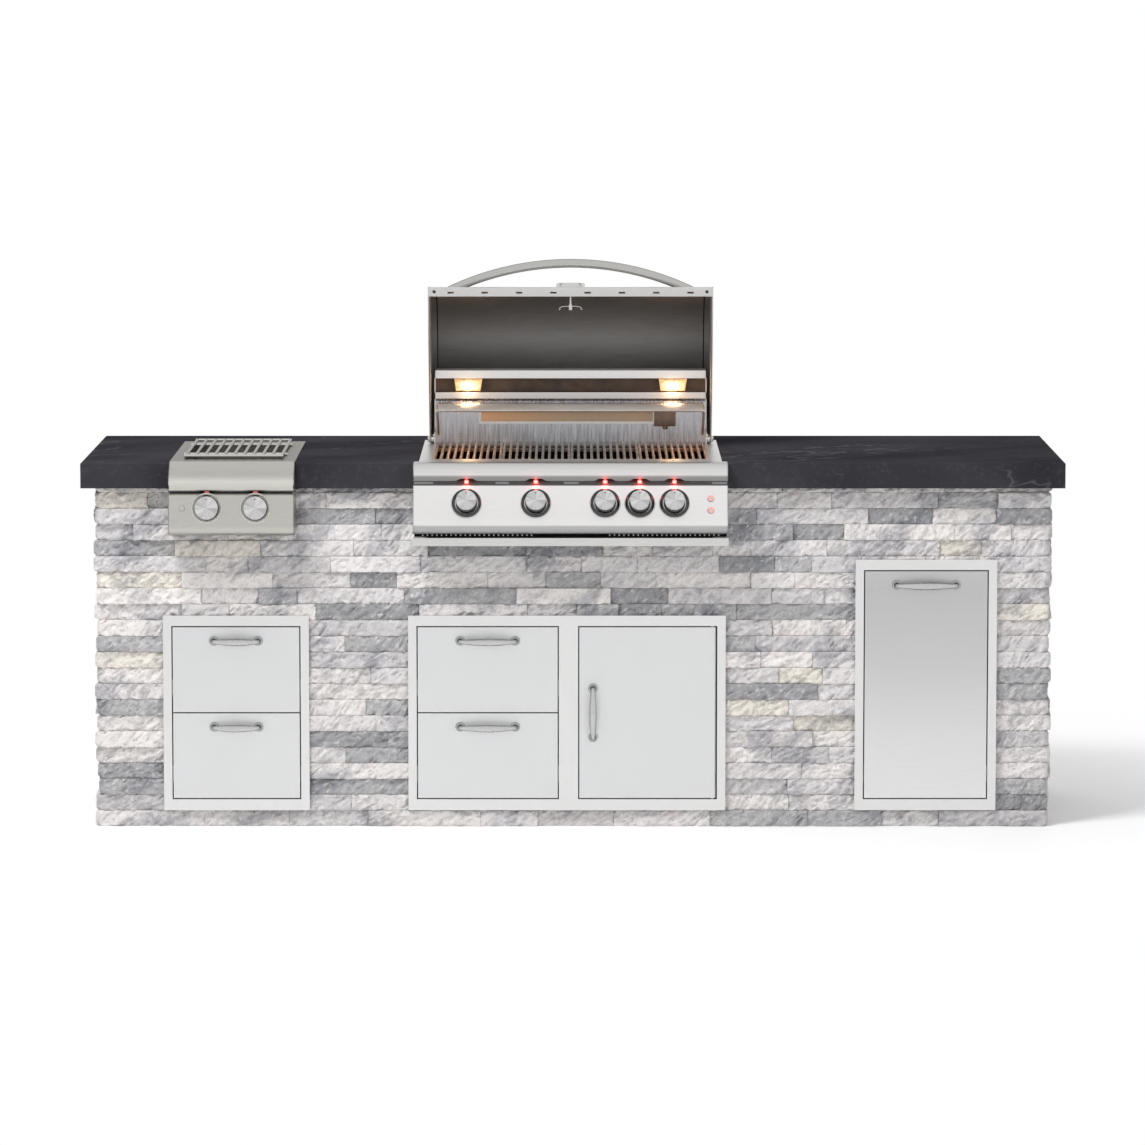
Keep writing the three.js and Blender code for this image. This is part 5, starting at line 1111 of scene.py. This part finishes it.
# %% Thermometer
dial_white = finish("dial face", (0.75, 0.75, 0.72), 0.5)
drive(dial_white, "Base Color", blend(noise(dial_white, 40), (0.7, 0.7, 0.67), (0.8, 0.8, 0.77)))
dial_place = leaning(0, dial_y, dial_z, HOOD_LEAN)
case_profile = [(0, 0.3), (37, 0.3), (37, 7), (36, 9.8), (34, 11), (31.5, 11), (30.5, 8.4), (0, 8.4)]
case = turned(case_profile, dial_place, 56)
card = pin(30.2, 8.3, 8.8, dial_place, 40)
needle = placed(box(-0.8, 0.8, -3, 24, 9, 9.6), dial_place)
stem = turned([(0, -61), (3, -58), (6, -58), (6, -44), (3, -44), (3, 0.2), (0, 0.2)], dial_place, 20)
wing_half = [(28, 0, -57.5), (27, 0, -52), (23, 0, -49), (10, 0, -48)]
wing_line = [(-x, y, z) for x, y, z in wing_half] + wing_half[::-1]
wing = placed(tube(wing_line, [3.4, 2.4, 2, 2, 2, 2, 2.4, 3.4], 10), dial_place)
make_piece("thermometer_dial", [
    (rolled(case), polished), (rolled(card), dial_white), (rolled(needle), black_and_painted_shade),
    (rolled(stem), polished), (rolled(wing), polished),
], "hood", ["thermometer"])

# %% [markdown]
# ## Rear housing
#
# The housing behind the grates is a folded sheet: the rear wall, a strip, the lamp bay and another
# strip. Every fold has its own finish: the bay is dark and the strips are bright. The housing carries
# the pins that the hood turns on.

# %% Rear housing
WALL_LOW, WALL_HIGH = -354.0, 342.0
STRIP_Y, HOUSING_BACK, HOUSING_FOOT, HOUSING_TOP = 500, 570, 918.6, 1105
wall_steel = brushed("rear wall steel", (0.59, 0.60, 0.64), 0.26, (40, 40, 2), 0.18)
strip_steel = brushed("strip steel", (0.79, 0.78, 0.77), 0.36, ALONG_X, 0.03)
folds = [
    ([(512, HOUSING_FOOT), (512, 1026), (STRIP_Y, 1033)], wall_steel),
    ([(STRIP_Y, 1033), (STRIP_Y, 1049), (502, 1049)], strip_steel),
    ([(502, 1049), (540, 1049), (540, 1085), (502, 1085)], bay_steel),
    ([(502, 1085), (STRIP_Y, 1085), (STRIP_Y, HOUSING_TOP), (568, HOUSING_TOP)], strip_steel),
    ([(568, HOUSING_TOP), (HOUSING_BACK, HOUSING_TOP), (HOUSING_BACK, HOUSING_FOOT)], flange_steel),
]
window = box(-229, 199, 500, 530, 973.7, 1001.7)
housing_shapes = []
for number, (line, metal) in enumerate(folds):
    sheet = prism(bent_sheet(line, -SHEET), WALL_LOW, WALL_HIGH)
    housing_shapes.append((drilled(sheet, window) if number == 0 else sheet, metal))
end_plate = [
    (464, 918.3), (HOUSING_BACK, 918.3), (HOUSING_BACK, HOUSING_TOP), (STRIP_Y, HOUSING_TOP),
    (STRIP_Y, 976.3), (490, 958), (464, 950.3),
]
for low in (WALL_LOW, WALL_HIGH - SHEET):
    housing_shapes.append((prism(end_plate, low, low + SHEET), strip_steel))
headed_pin = [
    (0, 347), (9, 347), (9, 356.5), (5, 356.5), (5, 361.5), (8, 361.5), (8, 363.8), (6.5, 365.5),
    (0, 365.5),
]
for side in (-1, 1):
    axis = np.array([[GRILL_X, HINGE_Y, HINGE_Z], [0, 1, 0], [0, 0, 1], [side, 0, 0]])
    housing_shapes.append((turned(headed_pin, axis, 24), polished))
make_piece("rear_folds", housing_shapes, "root", ["rear_housing"])

# %% [markdown]
# Each lamp is a block of ribbed glass that glows as if a bulb stood behind it. The glow is full over
# the middle fifth and falls evenly to its weakest at the rim, read from each point's own place. A
# small round lamp before the glass lights the bay.

# %% Lamps
glass = finish("ribbed lamp glass", (0.22, 0.18, 0.13), 0.2)
spot = node(glass.node_tree, "Attribute", attribute_name="value").outputs["Vector"]
away = node(glass.node_tree, "VectorMath", {0: spot}, operation="LENGTH").outputs["Value"]
core = remap(away, 0.2, 1.0, 1, 0)
facets = noise(glass, 95, detail=2, stretch=(1.6, 1, 0.8))
shine = blend(core, (0.86, 0.50, 0.24), (1.0, 0.90, 0.66))
ribbed = blend(remap(facets, 0.42, 0.56, 0.8, 0), shine, (0.58, 0.32, 0.13))
drive(glass, "Emission Color", ribbed)
drive(glass, "Emission Strength", remap(core, 0, 1, 0.6, 1.0))
bump(glass, facets, 0.002)


def lamp(name, x):
    """A bevelled block that narrows downwards, with a bulging ribbed front."""
    u = np.linspace(-1, 1, 25)[None, :]
    v = np.linspace(-1, 1, 13)[:, None]
    half = 33.5 + 2.5 * v
    bulge = (1 - u**2) * (1 - v**4)
    ribs = 0.5 * np.cos(u * 9 * math.pi) * (1 - u**2)
    y, z = 512 - 5.5 * bulge - ribs, 1067 + 15 * v + 0 * u
    front = np.stack(np.broadcast_arrays(x + u * half, y, z), -1)
    local = np.stack(np.broadcast_arrays(u, 0 * u, v * 0.8), -1).reshape(-1, 3)
    points, faces = surface(front)
    ring = outer_ring(front)
    back = points[ring] * [1, 0, 1] + [0, 539.6, 0]
    count, around = len(points), len(ring)
    for i in range(around):
        j = (i + 1) % around
        faces.append([ring[i], ring[j], count + j, count + i])
    faces.append([count + i for i in range(around)])
    block = np.concatenate([points, back]), faces
    make_piece(name + "_glass", [(block, glass)], "root", [name], sharp=50,
               values=with_alpha(np.concatenate([local, local[ring]])))


for name, x in (("lamp_left", -268.0), ("lamp_right", 256.0)):
    lamp(name, x)
    glow_lamp(name + " glow", x, 496, 1056, (1, 0.62, 0.33), 0.8, 0.02)

# %% [markdown]
# The rear burner is a bright frame round a tile with a fine mesh before it. The mesh is dark where
# either of two slanting waves is low. The tile is orange on its left and fades to olive, and this colour
# also glows a little, painted light.

# %% Finish of the tile
mesh_finish = finish("burner mesh", (0.4, 0.25, 0.15), 0.5, metallic=0.4)
tree = mesh_finish.node_tree
woven = blend(remap(along(mesh_finish, 0), -0.22, 0.02), (0.62, 0.34, 0.17), (0.31, 0.275, 0.20))
for turn in (0.9, -0.9):
    place = node(tree, "TexCoord").outputs["Object"]
    mapping = node(tree, "Mapping", {"Vector": place, "Rotation": (0, turn, 0)})
    wave = node(tree, "TexWave", {"Vector": mapping.outputs[0], "Scale": 80}).outputs["Fac"]
    woven = blend(remap(wave, 0.2, 0.5), (0.22, 0.14, 0.09), woven)
drive(mesh_finish, "Base Color", woven)
# Painted light: the tile's colour also glows, though the burner is no lamp.
drive(mesh_finish, "Emission Color", woven)
principled(mesh_finish)["Emission Strength"].default_value = 0.4
print(mesh_finish.name, "of", len(tree.nodes), "shader nodes")

# %% Rear burner
bronze = tinted("igniter box", (0.19, 0.16, 0.14), (0.25, 0.18, 0.14), 0.4, 25)
LEFT, RIGHT, LOW, HIGH = -241.0, 211.0, 967.7, 1007.7
RIM_WIDTH, RIM_FRONT, RIM_BACK = 6, 508.7, 511.7
frame_bars = [
    box(x0, x1, RIM_FRONT, RIM_BACK, z0, z1) for x0, x1, z0, z1 in (
        (LEFT, RIGHT, LOW, LOW + RIM_WIDTH), (LEFT, RIGHT, HIGH - RIM_WIDTH, HIGH),
        (LEFT, LEFT + RIM_WIDTH, LOW + RIM_WIDTH, HIGH - RIM_WIDTH),
        (RIGHT - RIM_WIDTH, RIGHT, LOW + RIM_WIDTH, HIGH - RIM_WIDTH),
    )
]
tile = box(LEFT + 6.5, RIGHT - 6.5, 511, 535.6, LOW + 6.5, HIGH - 6.5)
igniter_line = softened([(RIM_BACK, 961.7), (497.7, 961.7), (497.7, HIGH), (RIM_BACK, HIGH)], 4, 4)
igniter_box = prism(igniter_line, 208, 263)
knurl_place = np.array([[236, 505, 961.8], [1, 0, 0], [0, 1, 0], [0, 0, -1]])
knurl = turned([(0, 0), (7, 0), (7, 5), (5, 8), (0, 8)], knurl_place, 16)
igniter_tube = tube([(196, 504.5, 1000), (206, 504.5, 1001), (214, 503.5, 1002)], 3, 12)
make_piece("rear_burner_tile", [
    (together(*frame_bars), strip_steel), (tile, mesh_finish), (igniter_box, bronze), (knurl, bronze),
    (igniter_tube, brass),
], "root", ["rear_burner"])

# %% [markdown]
# The warming rack is welded from round rods, with two slanting stays that hook on the rear wall.

# %% Warming rack
RACK_Z, RACK_LOW, RACK_HIGH, ROD = 1017.7, -344.0, 332.0, 3
rack_rods = [tube([(x, y, RACK_Z) for x in (RACK_LOW, GRILL_X, RACK_HIGH)], ROD, 12)
             for y in np.linspace(306.7, 496.7, 8)]
for x in (RACK_LOW, RACK_HIGH):
    rack_rods += [
        tube([(x, 303.7, RACK_Z), (x, 400, RACK_Z), (x, 499.7, RACK_Z)], ROD, 12),
        tube([(x, 354.2, RACK_Z), (x, 430, RACK_Z - 39), (x, 508.7, RACK_Z - 78)], ROD, 12),
        box(x - 6, x + 6, 505.7, 511.7, RACK_Z - 84, RACK_Z - 72),
    ]
make_piece("warming_rods", [(rod, rod_steel) for rod in rack_rods], "root",
           ["warming_rack"])

# %% [markdown]
# The cooking grates are thick bars with soft tops, in patches of heat tint. They are painted warmer at
# the ends of the grill, a painted reflection of the lamps that shine on them.

# %% Cooking grates
grate_tint_and_painted_reflection = finish("cooking grate steel", (0.5, 0.42, 0.36), 0.32, metallic=1.0, edge=0.6)
patches = remap(noise(grate_tint_and_painted_reflection, 22, detail=4), 0.35, 0.65)
# Painted reflection: the bars turn warmer towards both ends of the grill, where the lamps shine; the
# patches are heat tint.
ends = node(grate_tint_and_painted_reflection.node_tree, "Math", {0: along(grate_tint_and_painted_reflection, 0)}, operation="ABSOLUTE").outputs[0]
warm = blend(patches, (1.0, 0.68, 0.46), (0.78, 0.49, 0.33))
cool = blend(patches, (0.80, 0.74, 0.68), (0.48, 0.42, 0.385))
drive(grate_tint_and_painted_reflection, "Base Color", blend(remap(ends, 0.10, 0.25), cool, warm))
drive(grate_tint_and_painted_reflection, "Roughness", spread(noise(grate_tint_and_painted_reflection, 150), 0.2, 0.4))

BARS, BAR_WIDTH, BAR_HEIGHT, BAR_FOOT = 11, 6.5, 10, 908.7
GRATE_LEFT, GRATE_WIDTH, GRATE_PITCH = -348.5, 170.5, 171.5
GRATE_FRONT, GRATE_BACK, CROSS_BAR = 68.5, 507.5, 8
half = BAR_WIDTH / 2
bar_section = softened([(-half, 0), (-half, BAR_HEIGHT), (half, BAR_HEIGHT), (half, 0)], 2.6, 5)


def grate(number, x0):
    """Eleven bars from front to back with rounded tops, tied below by two cross bars."""
    shapes = []
    for x in x0 + half + np.arange(BARS) * (GRATE_WIDTH - BAR_WIDTH) / (BARS - 1):
        points, faces = prism(bar_section, GRATE_FRONT, GRATE_BACK)
        shapes.append((points[:, [1, 0, 2]] + [x, 0, BAR_FOOT], faces))
    for share in (0.1, 0.9):
        y = GRATE_FRONT + (GRATE_BACK - GRATE_FRONT - CROSS_BAR) * share
        shapes.append(box(x0, x0 + GRATE_WIDTH, y, y + CROSS_BAR, 900.7, 909.2))
    make_piece(f"cooking_grate_{number}_bars", [(shape, grate_tint_and_painted_reflection) for shape in shapes], "root",
               [f"cooking_grate_{number}"])


for number in range(4):
    grate(number + 1, GRATE_LEFT + GRATE_PITCH * number)

# %% [markdown]
# The firebox keeps its solid shape. Its finish turns from bright to near black just below the deck,
# by the point's own height: painted shade in the well under the grates.

# %% Firebox and gas pipes
firebox_painted_shade = brushed("firebox steel", (0.66, 0.655, 0.64), 0.34, ALONG_X, 0.05)
# Painted shade: the well below the deck is near black.
on_deck = remap(along(firebox_painted_shade, 2), 0.905, 0.914)
drive(firebox_painted_shade, "Base Color", blend(on_deck, (0.05, 0.045, 0.042), tone_of(firebox_painted_shade)))
refinish(firebox_painted_shade, "firebox")
refinish(burner_steel, "burner_manifold")

# %% [markdown]
# ## Side burner
#
# The side burner's front slopes down from its deck, turns over a soft nose into a groove, and its
# face leans back 8°. The same helpers as for the grill cut its holes and turn its knobs.

# %% Side panel
SIDE_LOW, SIDE_HIGH, SIDE_BOTTOM, SIDE_LEAN = -998.0, -688.0, 738.4, 8.0
SIDE_KNOBS, IGNITER_X, side_y, side_z = [-903.0, -783.0], -965, -59.9, 807.2
BEND = 26
side_fold = [
    (-0.3, DECK_TOP), (-8, DECK_TOP), (-48, 885.7), (-58, 867.7), (-58, 851), (-51, 848), (-51, 842),
    (-55, 839), (-56, 832),
]
lean = math.radians(SIDE_LEAN)
bend = arc(-65.4 + BEND * math.cos(lean), 768 - BEND * math.sin(lean), BEND, 172, 270, 14)
side_bend = [*bend, (4.7, SIDE_BOTTOM)]
side_line = np.array([*softened(side_fold, 4, 5)[:-1], *side_bend])
side_inside = offset([*side_fold[:-1], *side_bend], SHEET)[::-1]
side_holes = [drill(x, side_y, side_z, SIDE_LEAN, radius)
              for x, radius in zip([*SIDE_KNOBS, IGNITER_X], (4.5, 4.5, 7.5))]
# Painted highlight and shade by height: darker on the bend and in the groove, brightest over the nose,
# darker on the slope.
painted_shading_by_height(side_steel, [
    (0.738, 0.7), (0.745, 0.92), (0.768, 0.96), (0.841, 0.96), (0.8425, 0.55), (0.8505, 0.6),
    (0.853, 1.05), (0.866, 1.22), (0.874, 1.25), (0.884, 0.95), (0.890, 0.86), (0.900, 0.88),
    (0.914, 0.9),
])
side_chrome = uneven("bezel chrome", (0.70, 0.69, 0.66), 0.22, 60, 0.16, 0.3, metallic=1.0)
dim_red = lit("dim red lens", (0.9, 0.14, 0.10), 0.25, base=(0.35, 0.10, 0.08))
side_shapes = [
    (drilled(prism([*side_line, *side_inside], SIDE_LOW, SIDE_HIGH), *side_holes), side_steel),
    (panel_ends(side_line, SIDE_LOW, SIDE_HIGH, SIDE_BOTTOM), side_steel),
    (box(SIDE_LOW + 3, SIDE_HIGH - 3, -51.6, -50.6, 842.6, 847.4), black_and_painted_shade),
]
for x in SIDE_KNOBS:
    lens = turned([(0, 0), (6.5, 0), (5.5, 1.8), (0, 3)], leaning(x, -52, 845, 0), 20)
    side_shapes.append((lens, dim_red))
    side_shapes += [(shape, side_chrome) for shape, _ in bezel(x, side_y, side_z, SIDE_LEAN, 33, 38.5)]
make_piece("side_front", side_shapes, "root", ["side_burner_panel"])

# %% Side knobs and igniter button
for number, x in enumerate(SIDE_KNOBS, 1):
    knob(f"side_knob_{number}", x, side_y, side_z, SIDE_LEAN, 29, 22)
igniter_place = leaning(IGNITER_X, side_y, side_z, SIDE_LEAN)
igniter = turned([(0, -6), (7, -6), (7, 2.4), (6.4, 3.4), (5, 4), (0, 3.6)], igniter_place, 28)
igniter_ring = turned([(3, 3.5), (4.2, 3.5), (4.1, 3.9), (3.1, 3.9)], igniter_place, 28, ring=True)
make_piece("side_igniter_cap", [(igniter, polished), (igniter_ring, dark_chrome)], "side_igniter_button",
           ["side_igniter_button"])

# %% [markdown]
# The burner head is cast and turned: an outer and an inner ring on a cross, with notches for the
# gas. The grate over it is bright round rod.

# %% Burner head
HEAD_X, HEAD_Y, HEAD_LOW, HEAD_HIGH = -843.0, 283.0, 854.7, 884.7
head_place = np.array([[HEAD_X, HEAD_Y, 0], *AT_ORIGIN[1:]])
cast = tinted("cast burner", (0.62, 0.52, 0.36), (0.42, 0.33, 0.22), 0.42, 40)


def burner_ring(outer, inner):
    """A ring with a domed top and a wavy rim of gas ports."""
    low, high = HEAD_LOW, HEAD_HIGH
    profile = softened([
        (inner, high - 4), (inner, low), (outer, low), (outer, high - 6), (outer - 2, high - 1),
        ((outer + inner) / 2, high), (inner + 1, high - 1), (inner, high - 4),
    ], 1.5, 4)[:-1]
    points, faces = turned(profile, AT_ORIGIN, 96, ring=True)
    around = np.arctan2(points[:, 1], points[:, 0])
    port = np.where(points[:, 2] > high - 8, 1 - 0.02 * (1 + np.cos(24 * around)), 1)[:, None]
    return placed((points * np.hstack([port, port, np.ones_like(port)]), faces), head_place)


head_shapes = [
    burner_ring(47, 33), burner_ring(22, 15),
    box(HEAD_X - 40, HEAD_X + 40, HEAD_Y - 7, HEAD_Y + 7, HEAD_LOW, HEAD_LOW + 7),
    box(HEAD_X - 7, HEAD_X + 7, HEAD_Y - 40, HEAD_Y + 40, HEAD_LOW, HEAD_LOW + 7),
    pin(12, 793, 858, head_place, 28),
]
make_piece("side_burner_rings", [(shape, cast) for shape in head_shapes], "root",
           ["side_burner_head"])

# %% Side grate
SIDE_ROD_Z, SIDE_ROD_FRONT, SIDE_ROD_BACK = 926, 65, 501
bright_rod = uneven("bright rod", (0.58, 0.57, 0.54), 0.24, 60, 0.16, 0.3, metallic=1.0, edge=0.5)
rods = [tube([(x, y, SIDE_ROD_Z) for y in (SIDE_ROD_FRONT, HEAD_Y, SIDE_ROD_BACK)], 4, 14)
        for x in np.linspace(-962, -724, 11)]
for share in (0.2, 0.8):
    y = SIDE_ROD_FRONT + (SIDE_ROD_BACK - SIDE_ROD_FRONT) * share
    rods.append(tube([(x, y, SIDE_ROD_Z - 4) for x in (-972, HEAD_X, -714)], 4, 14))
for y in (SIDE_ROD_FRONT, SIDE_ROD_BACK):
    rods.append(tube([(x, y, SIDE_ROD_Z) for x in (-966, HEAD_X, -720)], 4, 14))
make_piece("side_grate_rods", [(rod, bright_rod) for rod in rods], "root",
           ["side_burner_grate"])

# %% [markdown]
# The side burner's deck keeps its solid shape. Its finish is darker in the bowl below the top, painted
# shade.

# %% Side burner deck
bowl_steel = brushed("side deck steel", (0.46, 0.45, 0.42), 0.42, ALONG_X, 0.05, edge=0.45)
# Painted shade: the bowl below the top is darker.
on_deck = remap(along(bowl_steel, 2), 0.86, 0.912)
drive(bowl_steel, "Base Color", blend(on_deck, (0.42, 0.40, 0.36), tone_of(bowl_steel)))
refinish(bowl_steel, "side_burner_deck")
